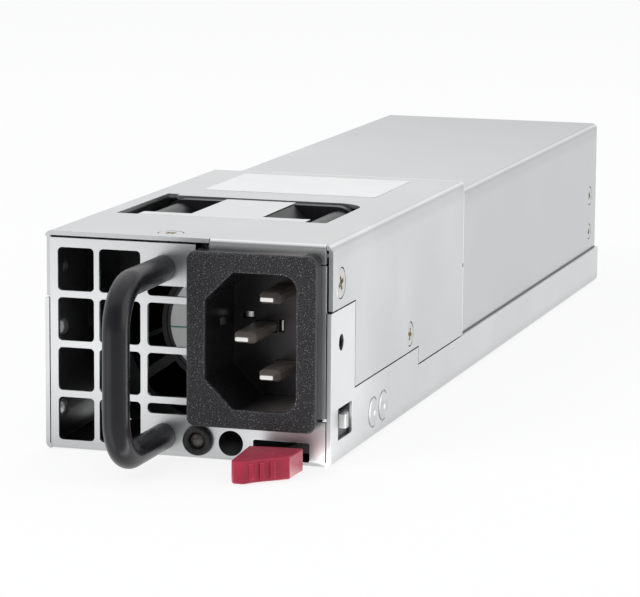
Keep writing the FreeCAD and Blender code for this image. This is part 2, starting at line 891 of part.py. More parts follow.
def front_cover():
    body = new_body("front_cover")
    left, right = across(0), from_right(0)
    top = S["case_height"]
    low = S["low_flange_height"] + S["seam"]
    front, end = deep(-FAR), deep(S["front_cover_end"])
    pad(body, "y", deep(0), end, [
        (left, low), (left + T, low), (left + T, top - T, S["bend"] - T),
        (right - T, top - T, S["bend"] - T), (right - T, low), (right, low),
        (right, top, S["bend"]), (left, top, S["bend"]),
    ])
    step = deep(S["mid_flange_end"] + S["seam"])
    mid = S["mid_flange_height"] + S["seam"]
    notch = deep(S["tall_flange_length"] + S["seam"])
    high = flange_top() + S["seam"]
    pocket(body, "x", left - FAR, right + FAR, [
        (front, low - FAR), (step, low - FAR), (step, mid), (notch, mid), (notch, high), (front, high),
    ])
    corner, under = S["bend"] + S["slack"], top - T - S["bite"]
    pocket(body, "y", front, deep(S["wall_setback"]),
           rectangle(left - FAR, low, left + corner, under),
           rectangle(right - corner, low, right + FAR, under))
    lip_left, lip_right = across(S["lip_left"]), from_right(S["plate_edge"])
    fold, lip_bottom = deep(S["bend"] + S["fold_run"]), from_top("lip_drop")
    pocket(body, "z", under, top + FAR, rectangle(lip_left, front, lip_right, fold))
    pad(body, "x", lip_left + S["slack"], lip_right - S["slack"], [
        (fold, top), (deep(0), top, S["lip_bend"]), (deep(0), lip_bottom), (deep(T), lip_bottom),
        (deep(T), top - T, S["lip_bend"] - T), (fold, top - T),
    ])
    hole_left, hole_front, hole_right, hole_rear = fan_opening()
    step_in, step_back = S["opening_step_across"], S["opening_step_deep"]
    pocket(body, "z", under, top + FAR, [
        (hole_left, hole_front), (hole_right, hole_front, S["opening_front_corner"]),
        (hole_right, hole_rear, S["opening_corner"]), (hole_left + step_in, hole_rear),
        (hole_left + step_in, hole_rear + step_back), (hole_left, hole_rear + step_back),
    ], circle(from_right(S["top_screw_from_right"]), deep(S["top_screw_deep"]),
              S["top_screw_head"] + S["slack"]))
    holes = [circle(y, up, head + S["slack"]) for y, up, head in side_screws().values()]
    pocket(body, "x", left - FAR, left + T + S["bite"], *holes)
    pocket(body, "x", right - T - S["bite"], right + FAR, *holes)
    pad(body, "y", end - T, end,
        rectangle(left + S["step_inset"], top - S["rear_cover_drop"] + S["slack"],
                  right - S["step_inset"], top - T / 2))
    return body


def rear_cover():
    body = new_body("rear_cover")
    left, right = across(T), from_right(T)
    top = S["case_height"] - S["rear_cover_drop"]
    low = S["bend"] + S["slack"]
    pad(body, "y", deep(S["rear_cover_start"]), from_rear(0), [
        (left, low), (left + T, low), (left + T, top - T, S["bend"] - T),
        (right - T, top - T, S["bend"] - T), (right - T, low), (right, low),
        (right, top, S["bend"]), (left, top, S["bend"]),
    ])
    holes = [circle(from_rear(S["rear_screw_from_end"]), up, head + S["slack"])
             for up, head, _ in rear_screw_sizes().values()]
    for start, end in ((left - FAR, left + T + S["bite"]), (right - T - S["bite"], right + FAR)):
        pocket(body, "x", start, end, *holes)
    return body


def rear_panel():
    body = new_body("rear_panel")
    left, right = across(T * 2), from_right(T * 2)
    front = from_rear(S["panel_setback"])
    top = S["case_height"] - S["rear_cover_drop"] - T
    pad(body, "y", front, front + T, [
        (left, T), (right, T), (right, top, S["bend"] - T), (left, top, S["bend"] - T),
    ])
    holes = [circle(from_rear(S["rear_screw_from_end"]), up, shank + S["slack"] / 2)
             for up, _, shank in rear_screw_sizes().values()]
    for start, end in ((left, left + T), (right - T, right)):
        pad(body, "x", start, end,
            rectangle(front - S["panel_flange"], S["panel_flange_bottom"],
                      front + S["bite"], S["panel_flange_top"]), *holes)
    before, behind = front - S["bite"], front + T + S["bite"]
    room, tongue_top = S["tongue_room"], S["board_bottom"] + S["board_thickness"]
    pocket(body, "y", before, behind,
           rectangle(across(S["tongue_left"]) - room, S["board_bottom"] - room,
                     from_right(S["tongue_right"]) + room, tongue_top + room))
    low = S["vent_bottom"]
    pitch = (top - low - S["vent_margin"]) / 4
    column, radius = pitch * math.cos(math.radians(30)), pitch * S["vent_share"]
    start = column * -3.5
    shapes = [hexagon(start, low + pitch * k, radius) for k in range(5)]
    shapes += [hexagon(start + column, low + pitch * (k + 0.5), radius) for k in range(4)]
    vents = pocket(body, "y", before, behind, *shapes)
    repeat(body, vents, "H_Axis", column * 6, 4)
    return body


def flush_screw(label, base, toward, head, shank, seat, reach):
    """A screw with a flat head level with the surface and its shank pointing inwards."""
    return turned(label, [
        (0, -reach), (shank, -reach), (shank, -seat), (head, -seat), (head, 0), (0, 0),
    ], base, toward, node=False)


def screws():
    top, sunk, reach = S["case_height"], S["screw_sunk"], S["screw_reach"]
    members = [flush_screw(
        "cover_screw_top", (from_right(S["top_screw_from_right"]), deep(S["top_screw_deep"]), top - sunk),
        (0, 0, 1), S["top_screw_head"], S["screw_shank"], S["plate_drop"] - sunk, reach + T)]
    for side, at, toward in (("left", across(sunk), (-1, 0, 0)), ("right", from_right(sunk), (1, 0, 0))):
        for name, (y, up, head) in side_screws().items():
            members.append(flush_screw(f"cover_screw_{name}_{side}", (at, y, up), toward,
                                       head, S["screw_shank"], T - sunk, reach))
    group("cover_screws", members)
    members = []
    y = from_rear(S["rear_screw_from_end"])
    for side, at, toward in (("left", across(T + sunk), (-1, 0, 0)),
                             ("right", from_right(T + sunk), (1, 0, 0))):
        for name, (up, head, shank) in rear_screw_sizes().items():
            members.append(flush_screw(f"rear_screw_{name}_{side}", (at, y, up), toward,
                                       head, shank, T - sunk, reach))
    group("rear_screws", members)


# ---------------------------------------------------------------- front furniture


def socket_shell():
    """Half sizes of the inlet body that passes through the front plate."""
    return S["socket_width"] / 2 + S["socket_wall"], socket_tall() / 2 + S["socket_wall"]


def socket_tall():
    return from_top("bezel_drop") - S["bezel_bottom"] - S["socket_margin"] * 2


def inlet_pins():
    """Across, height and tip depth of each blade in the inlet."""
    up, half = inlet_up(), S["pin_spacing"] / 2
    live, earth = from_right(S["pin_from_right"]), from_right(S["earth_from_right"])
    return {"neutral": (live, up - half, S["pin_tip"]), "line": (live, up + half, S["pin_tip"]),
            "earth": (earth, up, S["earth_tip"])}


def ac_inlet():
    body = new_body("ac_inlet_housing")
    centre, up = from_right(S["inlet_from_right"]), inlet_up()
    half = S["bezel_width"] / 2
    front, floor = deep(-S["bezel_depth"]), deep(S["socket_floor"])
    pad(body, "y", front, deep(0),
        rectangle(centre - half, S["bezel_bottom"], centre + half, from_top("bezel_drop"),
                  S["bezel_corner"]))
    soften(body, S["bezel_edge"], lambda edge: abs(edge.BoundBox.YMax - front.value) < 1e-5)
    half_width, half_height = socket_shell()
    pad(body, "y", deep(0), deep(S["inlet_rear"]),
        rectangle(centre - half_width, up - half_height, centre + half_width, up + half_height))
    wide, tall = S["socket_width"] / 2, socket_tall() / 2
    cut, small, large = S["socket_cut"], S["socket_cut_corner"], S["socket_corner"]
    pocket(body, "y", front - FAR, floor, [
        (centre - wide, up - tall + cut), (centre - wide + cut, up - tall, small),
        (centre + wide, up - tall, large), (centre + wide, up + tall, large),
        (centre - wide + cut, up + tall, small), (centre - wide, up + tall - cut, small),
    ])
    thin, spread = S["pin_thickness"] / 2, S["pin_width"] / 2
    pins = inlet_pins()
    pocket(body, "y", floor - S["bite"], deep(S["inlet_rear"]) + FAR,
           *[rectangle(x - spread, z - thin, x + spread, z + thin) for x, z, _ in pins.values()])
    pocket(body, "y", floor - S["bite"], floor + S["window_depth"],
           *[rectangle(centre + left, up + bottom, centre + right, up + top)
             for left, bottom, right, top in SOCKET_WINDOWS])
    wall = centre - wide
    near, low, far, high = WALL_WINDOW
    pocket(body, "x", wall - S["wall_window_depth"], wall + S["bite"],
           rectangle(deep(near), up + low, deep(far), up + high))
    barb, reach = S["barb_height"] / 2, S["barb_reach"]
    for root, tip in ((centre - half_width, centre - half_width - reach),
                      (centre + half_width, centre + half_width + reach)):
        corners = [(root, deep(T)), (tip, deep(T)), (root, deep(S["barb_rear"]))]
        pad(body, "z", up - barb, up + barb, corners)
    taper, point, rear = S["pin_taper"], S["pin_point"], deep(S["pin_rear"])
    for name, (x, z, tip) in pins.items():
        pin = new_body(f"inlet_pin_{name}")
        pad(pin, "z", z - thin, z + thin, [
            (x - spread + point, deep(tip)), (x + spread - point, deep(tip)),
            (x + spread, deep(tip + taper)), (x + spread, rear),
            (x - spread, rear), (x - spread, deep(tip + taper)),
        ])
        front = deep(tip).value
        soften(pin, S["pin_chamfer"],
               lambda edge: abs(edge.BoundBox.YMax - front) < 1e-5 and edge.BoundBox.XLength > 1, "Chamfer")


def handle():
    x, reach, bend = from_right(S["handle_from_right"]), S["handle_reach"], S["handle_bend"]
    low, high = S["handle_low"], from_top("handle_drop")
    body = swept("handle", "x", x, [
        (deep(0), low), (deep(-reach), low, bend), (deep(-reach), high, bend), (deep(0), high),
    ], "y", deep(0), circle(x, low, S["handle_rod"] / 2))
    shank, head, run = S["handle_screw"], S["handle_screw_head"], S["handle_screw_run"]
    pocket(body, "y", deep(-run), deep(S["bite"]),
           circle(x, low, shank + S["slack"] / 2), circle(x, high, shank + S["slack"] / 2))
    members = []
    for name, up in (("low", low), ("high", high)):
        members.append(turned(f"handle_screw_{name}", [
            (0, -run), (shank, -run), (shank, 0), (head, 0), (head, S["handle_screw_tall"]),
            (0, S["handle_screw_tall"]),
        ], (x, deep(T), up), (0, 1, 0), node=False))
    group("handle_screws", members)


def indicator():
    place = (from_right(S["led_from_right"]), deep(0), S["led_up"])
    bore, neck, outer = S["led_radius"] + S["slack"], S["holder_neck"], S["holder_radius"]
    back, rim, bevel = -S["holder_depth"], S["holder_rim"], S["holder_bevel"]
    turned("led_holder", [
        (bore, back), (neck, back), (neck, 0), (outer, 0), (outer, rim - bevel), (outer - bevel, rim),
        (bore, rim),
    ], place, (0, -1, 0))
    flange = S["led_flange"]
    turned("status_led", [
        (0, back - flange), (S["led_radius"] + flange, back - flange), (S["led_radius"] + flange, back),
        (S["led_radius"], back), (S["led_radius"], rim, S["led_dome"]), (0, rim),
    ], place, (0, -1, 0))


# ---------------------------------------------------------------- latch


def latch():
    inner = from_right(T)
    thickness, slack = S["spring_thickness"], S["slack"]
    low, high = S["spring_bottom"], S["spring_top"]
    hinge = deep(S["hinge_deep"])

    strap = new_body("latch_strap")
    pad(strap, "x", inner - thickness, inner,
        rectangle(hinge, low, deep(S["strap_end"]), high),
        *[circle(deep(S[place]), S["rivet_up"], S["rivet_hole"]) for place in RIVETS])

    members = []
    shank, head, tail, groove = S["rivet_shank"], S["rivet_head"], S["rivet_tail"], S["groove_depth"]
    proud, dimple, back = S["rivet_proud"], S["rivet_dimple"], -T - thickness
    for place in RIVETS:
        members.append(turned(f"latch_{place}", [
            (0, back - S["rivet_tail_depth"]), (tail, back - S["rivet_tail_depth"]), (tail, back),
            (shank, back), (shank, -groove), (head, -groove), (head, 0), (head - proud, proud),
            (dimple + proud, proud), (dimple, 0), (0, 0),
        ], (from_right(0), deep(S[place]), S["rivet_up"]), (1, 0, 0), node=False))
    group("latch_rivets", members)

    arm = new_body("latch_arm")
    fold, blade = deep(S["arm_front"]), from_right(S["arm_from_right"])
    root = inner - slack / 2
    blade_low, blade_high = low + S["bite"], S["slot_top"] - S["blade_drop"]
    pad(arm, "x", root - thickness, root, rectangle(fold, low, hinge - slack, high))
    pad(arm, "y", fold, fold + thickness, rectangle(blade, blade_low, root, blade_high))
    pad(arm, "x", blade, blade + thickness,
        rectangle(deep(S["blade_tip"]), blade_low, fold + thickness, blade_high))

    tooth = new_body("latch_tooth")
    crest, front = from_right(-S["tooth_reach"]), deep(S["tooth_front"])
    pad(tooth, "z", S["tooth_bottom"], high, [
        (root, front), (crest, front, S["tooth_edge"]),
        (crest, front + S["tooth_crest"], S["tooth_edge"]), (root, deep(S["tooth_rear"])),
    ])

    button = new_body("latch_button")
    bottom, top = S["button_bottom"], S["button_top"]
    pad(button, "z", bottom, top,
        [(from_right(x), deep(y), rounding) for x, y, rounding in BUTTON_OUTLINE])
    soften(button, S["button_edge"], lambda edge: edge.BoundBox.ZLength < 1e-5)
    pocket(button, "y", deep(S["blade_tip"]), deep(0),
           rectangle(blade, blade_low, blade + thickness, blade_high))
    inset, half = S["rib_inset"], S["rib_width"] / 2
    for x, front in BUTTON_RIBS:
        left, right, root = from_right(x) - half, from_right(x) + half, deep(front) + S["rib_root"]
        pad(button, "z", bottom + inset, top - inset,
            [(left, root), (left, deep(front)), (right, deep(front) + half), (right, root)])


# ---------------------------------------------------------------- fan


def fan():
    centre, up = fan_centre(), fan_up()
    half, bite = fan_half(), S["bite"]
    front, rear = deep(S["fan_front"]), fan_rear()
    flange, flat = S["fan_flange"], S["fan_flat"] / 2
    hub, bore, offset = S["stator_radius"], half - S["fan_wall"], half - S["fan_hole_inset"]
    corners = [(centre + offset * i, up + offset * j) for i in (-1, 1) for j in (-1, 1)]

    frame = new_body("fan_frame")
    plate = rectangle(centre - half, up - half, centre + half, up + half, S["fan_corner"])
    pad(frame, "y", front, front + flange, plate)
    pad(frame, "y", rear - flange, rear, plate)
    pad(frame, "y", front, rear, [
        (centre - flat, up - half), (centre + flat, up - half), (centre + half, up - flat),
        (centre + half, up + flat), (centre + flat, up + half), (centre - flat, up + half),
        (centre - half, up + flat), (centre - half, up - flat),
    ])
    pad(frame, "y", front, rear, *[circle(x, z, S["fan_tube"]) for x, z in corners])
    pocket(frame, "y", front - FAR, rear + FAR, circle(centre, up, bore),
           *[circle(x, z, S["fan_hole"]) for x, z in corners])
    pad(frame, "y", front, front + S["stator_depth"], circle(centre, up, hub))
    start, end, thin = hub - bite, bore + bite, S["strut_width"] / 2
    for turn in STRUT_TURNS:
        c, s = math.cos(math.radians(turn)), math.sin(math.radians(turn))
        pad(frame, "y", front, front + S["strut_depth"], [
            (centre + start * c - thin * s, up + start * s + thin * c),
            (centre + start * c + thin * s, up + start * s - thin * c),
            (centre + end * c + thin * s, up + end * s - thin * c),
            (centre + end * c - thin * s, up + end * s + thin * c),
        ])
    rim, sunk, badge = S["badge_rim"], S["badge_depth"], S["badge_thickness"]
    pocket(frame, "y", front - FAR, front + sunk, circle(centre, up, hub - rim))
    pocket(frame, "y", front + S["bearing_front"], front + S["stator_depth"] + FAR,
           circle(centre, up, S["bearing_radius"]))

    hub, back = S["hub_radius"], S["hub_length"]
    rotor = turned("fan_rotor", [
        (0, -S["shaft_length"]), (S["shaft_radius"], -S["shaft_length"]), (S["shaft_radius"], 0),
        (hub, 0), (hub, back), (0, back),
    ], (centre, front + S["stator_depth"] + S["rotor_gap"], up), (0, 1, 0))
    blade = pad(rotor, "x", hub - S["blade_root"], bore - S["blade_gap"], BLADE_OUTLINE)
    ring = rotor.newObject("PartDesign::PolarPattern", "fan_rotor_blades")
    ring.Originals = [blade]
    ring.Axis = (origin_part(rotor, "Z_Axis"), [""])
    ring.Angle = 360
    ring.Occurrences = 7
    rotor.Tip = ring

    badge_body = new_body("fan_hub_label")
    pad(badge_body, "y", front + sunk - badge, front + sunk,
        circle(centre, up, S["stator_radius"] - rim - S["slack"]))

    clip = new_body("fan_clip")
    left, right = centre - S["clip_half"], centre + S["clip_half"]
    bar, tail = front + S["clip_depth"], rear - S["clip_setback"]
    pad(clip, "z", up + half, up + half + S["clip_sheet"], [
        (left, front), (right, front), (right, bar), (centre + flat, bar), (centre + flat, tail),
        (centre - flat, tail), (centre - flat, bar), (left, bar),
    ])


def fan_wires():
    """Supply wires leaving the motor beside one strut."""
    half, radius = fan_half(), S["lead_radius"]
    y = deep(S["fan_front"]) - radius
    for name, shift in (("red", 0.0), ("black", S["lead_pitch"])):
        (start_x, start_z), *others = [
            (fan_centre() + half * x + shift, fan_up() + half * z) for x, z in LEAD_PATH
        ]
        start_z = start_z + shift / 2
        swept(f"fan_wire_{name}", "y", y, [(start_x, start_z)]
              + [(x, z, S["lead_bend"]) for x, z in others],
              "z", start_z, circle(start_x, y, radius))


def baffle():
    """Blanking plate beside the fan, with a window for the inlet wires."""
    body = new_body("air_baffle")
    left, right, rim = fan_sides()[1], from_right(S["duct_right"]), S["duct_rim"]
    front = fan_rear() - S["duct_setback"]
    pad(body, "y", front, front + T,
        rectangle(left, T, right, S["case_height"] - T),
        rectangle(left + rim, inlet_up() - S["duct_half"], right - rim, inlet_up() + S["duct_half"]))


# ---------------------------------------------------------------- electronics


def board_top():
    return S["board_bottom"] + S["board_thickness"]


def board_posts():
    """Places of the board's mounting posts."""
    left, right = across(S["post_edge"]), from_right(S["post_edge"])
    front, middle, rear = deep(S["post_front"]), from_rear(S["post_middle"]), from_rear(S["post_rear"])
    return [(left, front), (from_right(S["post_front_right"]), front), (left, middle), (right, middle),
            (left, rear), (right, rear)]


def main_board():
    body = new_body("main_board")
    low, high = S["board_bottom"], board_top()
    left, right = across(S["board_left"]), from_right(S["board_right"])
    tongue_left, tongue_right = across(S["tongue_left"]), from_right(S["tongue_right"])
    front, rear, tongue = deep(S["board_front"]), from_rear(S["board_rear"]), from_rear(-S["tongue_rear"])
    posts = board_posts()
    pad(body, "z", low, high, [
        (left, front), (right, front), (right, rear), (tongue_right, rear), (tongue_right, tongue),
        (tongue_left, tongue), (tongue_left, rear), (left, rear),
    ], *[circle(x, y, S["post_hole"]) for x, y in posts])
    width = tongue_right - tongue_left
    key_left, key_right = KEYWAY
    pocket(body, "z", low - S["bite"], high + S["bite"],
           rectangle(tongue_left + width * key_left, tongue - S["key_depth"],
                     tongue_left + width * key_right, tongue + FAR))
    standoffs, fixings = [], []
    hole, post, shank = S["post_bore"], S["post_radius"], S["screw_shank"]
    for i, (x, y) in enumerate(posts):
        standoffs.append(turned(f"standoff_{i}", [
            (hole, 0), (post, 0), (post, low - T), (hole, low - T),
        ], (x, y, T), node=False))
        fixings.append(turned(f"board_screw_{i}", [
            (0, -S["post_screw_run"]), (shank, -S["post_screw_run"]), (shank, 0), (post, 0),
            (post, S["post_screw_tall"]), (0, S["post_screw_tall"]),
        ], (x, y, high), node=False))
    group("board_standoffs", standoffs)
    group("board_screws", fixings)

    film, inset = new_body("insulator_sheet"), S["film_inset"]
    pad(film, "z", T, T + S["film_thickness"],
        rectangle(left + inset, front + inset, right - inset, rear - inset),
        *[circle(x, y, post + S["bite"]) for x, y in posts])


def edge_contacts():
    """Gold fingers on both faces of the tongue, in two banks with the keyway between them."""
    high, low = board_top(), S["board_bottom"]
    edge, tongue = across(S["tongue_left"]), from_rear(-S["tongue_rear"])
    width = from_right(S["tongue_right"]) - edge
    thin = S["contact_thickness"]
    for name, start, end in (("top", high, high + thin), ("bottom", low - thin, low)):
        members = []
        for bank, count in (("signal", 6), ("power", 4)):
            first, wide, pitch = CONTACT_BANKS[bank]
            for i in range(count):
                finger = new_body(f"contact_{name}_{bank}_{i}", node=False)
                left = edge + width * (first + i * pitch)
                pad(finger, "z", start, end,
                    rectangle(left, tongue - S["contact_front"],
                              left + width * wide, tongue - S["contact_rear"]))
                members.append(finger)
        group(f"edge_contacts_{name}", members)


def input_stage():
    top = board_top()
    for name in BLOCKS:
        left, right, front, rear, tall = (S[f"{name}_{part}"] for part in BLOCK_PARTS)
        body = new_body(name)
        pad(body, "z", top, top + tall,
            rectangle(crosswise(left), lengthwise(front), crosswise(right), lengthwise(rear)))

    left, right, radius = across(S["choke_left"]), from_right(S["choke_right"]), S["choke_radius"]
    turned("emi_choke", [
        (S["choke_bore"], 0), (radius, 0), (radius, S["choke_tall"]), (S["choke_bore"], S["choke_tall"]),
    ], ((left + right) / 2, deep(S["choke_deep"]), top))

    fuse_x, fuse_y, cap = across(S["fuse_across"]), deep(S["fuse_front"]), S["fuse_cap"]
    radius, length, glass = S["fuse_radius"], S["fuse_length"], S["fuse_radius"] - S["bite"]
    turned("input_fuse", [
        (0, 0), (radius, 0), (radius, cap), (glass, cap), (glass, length - cap),
        (radius, length - cap), (radius, length), (0, length),
    ], (fuse_x, fuse_y, top + S["fuse_up"]), (0, 1, 0))
    clips, reach, sheet = new_body("fuse_clips"), radius + S["clip_spring"], S["clip_spring"]
    wide = S["fuse_clip_width"]
    for start in (fuse_y + S["fuse_clip_front"], fuse_y + length - S["fuse_clip_front"] - wide):
        pad(clips, "y", start, start + wide, [
            (fuse_x - reach, top), (fuse_x + reach, top), (fuse_x + reach, top + S["fuse_clip_tall"]),
            (fuse_x + reach - sheet, top + S["fuse_clip_tall"]), (fuse_x + reach - sheet, top + sheet),
            (fuse_x - reach + sheet, top + sheet), (fuse_x - reach + sheet, top + S["fuse_clip_tall"]),
            (fuse_x - reach, top + S["fuse_clip_tall"]),
        ])

    lane = (fan_sides()[1] + from_right(T * 2)) / 2
    turn_at = deep(S["pin_rear"] - S["wire_setback"])
    for name, (x, up, _) in inlet_pins().items():
        start = x + S["pin_width"] / 2
        swept(f"inlet_wire_{name}", "z", up, [
            (start, turn_at), (lane, turn_at, S["wire_bend"]),
            (lane, deep(S["input_terminal_block_front"])),
        ], "x", start, circle(turn_at, up, S["wire_radius"]))


def heatsinks():
    """Comb-shaped extrusions, each with its power devices on the side facing the board's middle."""
    top, leg = board_top(), S["device_leg"]
    devices = []
    for name, fitted in HEATSINKS.items():
        body = new_body(f"{name}_heatsink")
        plate = from_right(S[f"{name}_sink_left"])
        fin_root, fin_end = plate + S["sink_plate"], from_right(S["sink_edge"])
        start = lengthwise(S[f"{name}_sink_front"])
        finish = from_rear(S[f"{name}_sink_rear"])
        pad(body, "y", start, finish, rectangle(plate, top, fin_root, top + S[f"{name}_sink_tall"]))
        pad(body, "y", start, finish,
            *[rectangle(fin_root - S["bite"], top + S["fin_pitch"] * k - S["fin_drop"],
                        fin_end, top + S["fin_pitch"] * k - S["fin_drop"] + S["fin_thickness"])
              for k in range(1, 6)])
        length = finish - start
        for near, wide, tall, thick in fitted:
            device = new_body(f"device_{len(devices)}", node=False)
            y, far = start + length * near, start + length * (near + wide)
            pad(device, "x", plate - thick, plate,
                rectangle(y, top + leg, far, top + leg + tall))
            pad(device, "x", plate - thick * 0.6, plate - thick * 0.3,
                *[rectangle(y + (far - y) * k / 4 - leg / 6, top,
                            y + (far - y) * k / 4 + leg / 6, top + leg + S["bite"])
                  for k in (1, 2, 3)])
            devices.append(device)
    rectifier, *others = devices
    rectifier.Label = "bridge_rectifier"
    NODES.append(rectifier)
    group("power_transistors", others)


def storage():
    top = board_top()
    left, right = across(S["bulk_left"]), from_right(S["bulk_right"])
    centre = (left + right) / 2
    radius = (S["case_width"] * S["bulk_width_share"] + S["case_height"] * S["bulk_height_share"]
              - S["bulk_trim"])
    front, rear, middle = deep(S["bulk_front"]), from_rear(S["bulk_rear"]), top + radius
    turned("bulk_capacitor", [(0, 0), (radius, 0), (radius, rear - front), (0, rear - front)],
           (centre, front, middle), (0, 1, 0))
    leads, thin = new_body("bulk_capacitor_leads"), S["terminal_thickness"] / 2
    spread, edge = S["terminal_spread"], S["terminal_edge"]
    knee = rear + S["terminal_run"]
    pad(leads, "y", rear, rear + S["terminal_plate"],
        rectangle(centre - spread - edge, middle - edge, centre + spread + edge, middle + edge))
    for x in (centre - spread, centre + spread):
        pad(leads, "x", x - thin, x + thin, [
            (rear, middle - thin), (knee, middle - thin), (knee, top), (knee + thin * 2, top),
            (knee + thin * 2, middle + thin), (rear, middle + thin),
        ])
    cans = []
    radius, tall = S["can_radius"], S["can_tall"]
    for y in (from_rear(S["can_front"]), from_rear(S["can_rear"])):
        for i in range(3):
            cans.append(turned(f"can_{len(cans)}", [(0, 0), (radius, 0), (radius, tall), (0, tall)],
                               (across(S["can_first"] + S["can_pitch"] * i), y, top), node=False))
    group("output_capacitors", cans)


def transformer():
    top = board_top()
    left, right = across(S["transformer_left"]), from_right(S["transformer_right"])
    front, rear = from_rear(S["transformer_front"]), from_rear(S["transformer_rear"])
    core_front, core_rear = front + S["core_setback"], rear - S["core_setback"]
    low, high = top + S["base_tall"], from_top("core_drop")
    limb, leg, yoke, bite = S["core_limb"], S["core_leg"], S["core_yoke"], S["bite"]
    core = new_body("transformer_core")
    pad(core, "y", core_front, core_rear, rectangle(left, low, right, high))
    pocket(core, "y", core_front - bite, core_rear + bite,
           rectangle(left + limb, low + yoke, right - limb, high - yoke))
    pad(core, "y", core_front, core_rear,
        rectangle(left + leg, low + yoke - bite, right - leg, high - yoke + bite))
    winding = new_body("transformer_winding")
    pad(winding, "z", low + yoke, high - yoke,
        rectangle(left + limb + bite, front, right - limb - bite, rear, S["winding_corner"]),
        rectangle(left + leg, core_front, right - leg, core_rear))
    base, inset, rib = new_body("transformer_base"), S["base_inset"], S["base_rib"]
    pad(base, "z", top, low, rectangle(left + inset, front + inset, right - inset, rear - inset))
    for y in (front + inset, rear - inset - rib):
        pad(base, "z", low - bite, low + yoke,
            rectangle(left + S["base_rib_inset"], y, right - S["base_rib_inset"], y + rib))


def control_card():
    top = board_top()
    front, rear = deep(S["card_front"]), from_rear(S["card_rear"])
    left = from_right(S["card_left"])
    right, length = left + S["card_thickness"], rear - front
    card = new_body("control_card")
    pad(card, "x", left, right, rectangle(front, top, rear, top + S["card_tall"]))
    chips = []
    for near, up, wide, tall in CHIPS:
        chip = new_body(f"chip_{len(chips)}", node=False)
        pad(chip, "x", right, right + S["chip_thickness"],
            rectangle(front + length * near, top + up, front + length * (near + wide), top + up + tall))
        chips.append(chip)
    group("control_chips", chips)


def top_label():
    body = new_body("top_label")
    pad(body, "z", S["case_height"], S["case_height"] + S["label_thickness"],
        rectangle(across(S["label_left"]), deep(S["label_front"]),
                  from_right(S["label_right"]), deep(S["label_rear"]), S["label_corner"]))


def build():
    chassis_tray()
    front_cover()
    rear_cover()
    rear_panel()
    screws()
    top_label()
    ac_inlet()
    handle()
    indicator()
    latch()
    fan()
    fan_wires()
    baffle()
    main_board()
    edge_contacts()
    input_stage()
    heatsinks()
    storage()
    transformer()
    control_card()
    DOC.recompute()


def export():
    """Stops on anything unsound, then writes one file for each piece."""
    for thing in DOC.Objects:
        if {"Invalid", "Error"} & set(thing.State):
            raise RuntimeError(f"{thing.Label} did not rebuild")
    os.makedirs("parts", exist_ok=True)
    for node in NODES:
        shape = node.Shape
        if shape.isNull() or not shape.isValid() or not shape.Solids:
            raise RuntimeError(f"{node.Label} is not a sound solid")
        shape.exportStep(f"parts/{node.Label}.step")


build()
export()
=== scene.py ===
"""A hot swap server power supply: finishes, small fittings, studio and camera."""

import json
import math

import bmesh
import bpy
from mathutils import Matrix, Vector


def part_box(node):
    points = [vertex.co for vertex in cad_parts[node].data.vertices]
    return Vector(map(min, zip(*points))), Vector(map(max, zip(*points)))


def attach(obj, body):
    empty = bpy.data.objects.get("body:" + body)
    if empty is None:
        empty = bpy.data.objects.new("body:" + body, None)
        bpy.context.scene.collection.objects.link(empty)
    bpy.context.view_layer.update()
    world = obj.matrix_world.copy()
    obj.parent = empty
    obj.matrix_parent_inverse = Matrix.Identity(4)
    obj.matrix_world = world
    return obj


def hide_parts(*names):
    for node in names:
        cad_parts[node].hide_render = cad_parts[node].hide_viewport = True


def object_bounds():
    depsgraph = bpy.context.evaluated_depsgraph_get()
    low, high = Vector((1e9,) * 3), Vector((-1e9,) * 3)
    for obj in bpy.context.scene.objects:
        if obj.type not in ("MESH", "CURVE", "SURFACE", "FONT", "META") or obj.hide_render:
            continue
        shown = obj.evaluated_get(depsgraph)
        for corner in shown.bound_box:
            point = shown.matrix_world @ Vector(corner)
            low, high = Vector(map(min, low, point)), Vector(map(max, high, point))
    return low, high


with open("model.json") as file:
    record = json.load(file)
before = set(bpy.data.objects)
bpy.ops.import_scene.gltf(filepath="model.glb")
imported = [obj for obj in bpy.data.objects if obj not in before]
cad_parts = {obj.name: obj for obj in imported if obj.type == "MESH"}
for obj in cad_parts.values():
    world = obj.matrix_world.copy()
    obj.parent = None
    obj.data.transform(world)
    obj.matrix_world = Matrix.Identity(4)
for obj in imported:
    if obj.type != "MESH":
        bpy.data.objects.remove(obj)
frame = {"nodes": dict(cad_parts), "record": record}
CAD_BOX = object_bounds()

MM = 0.001  # in metres, which are the frame's unit

# The case's sheet, in millimetres.
SHEET = 0.8  # thickness
FOLD = 1.2  # outside radius of its folds

# The camera: metres, radians, and millimetres for the lens and the sensor.
CAMERA_PLACE = Vector((0.1896, -0.6457, 0.1249))
CAMERA_TOWARD = Vector((-0.28984, 0.94253, -0.16620))
CAMERA_ROLL = 0.007
CAMERA_LENS = 182.1
SENSOR_WIDTH = 36.0
CLIP_NEAR, CLIP_FAR = 0.01, 50

# Each lamp's place and size in metres, its power in watts and whether gloss shows it.
LAMPS = {
    "overhead": ((-0.2, 0.0, 1.4), (2.4, 2.4), 10, True),
    "front": ((-0.8, -1.1, 0.36), (0.7, 1.2), 12, False),
    "right": ((1.3, -0.1, 0.5), (1.2, 1.4), 6, True),
}
ROOM_LIGHT = (0.95, 0.97, 1.0)  # colour of the room's even light
ROOM_STRENGTH = 0.55

FLOOR_REACH = 6.0  # from the middle to each side, in metres
FLOOR_GAP = 0.2 * MM  # below the part
FLOOR_COLOUR = (0.93, 0.93, 0.93)
FLOOR_WHITE = 0.84  # share of plain white; the rest is lit and keeps the shadow

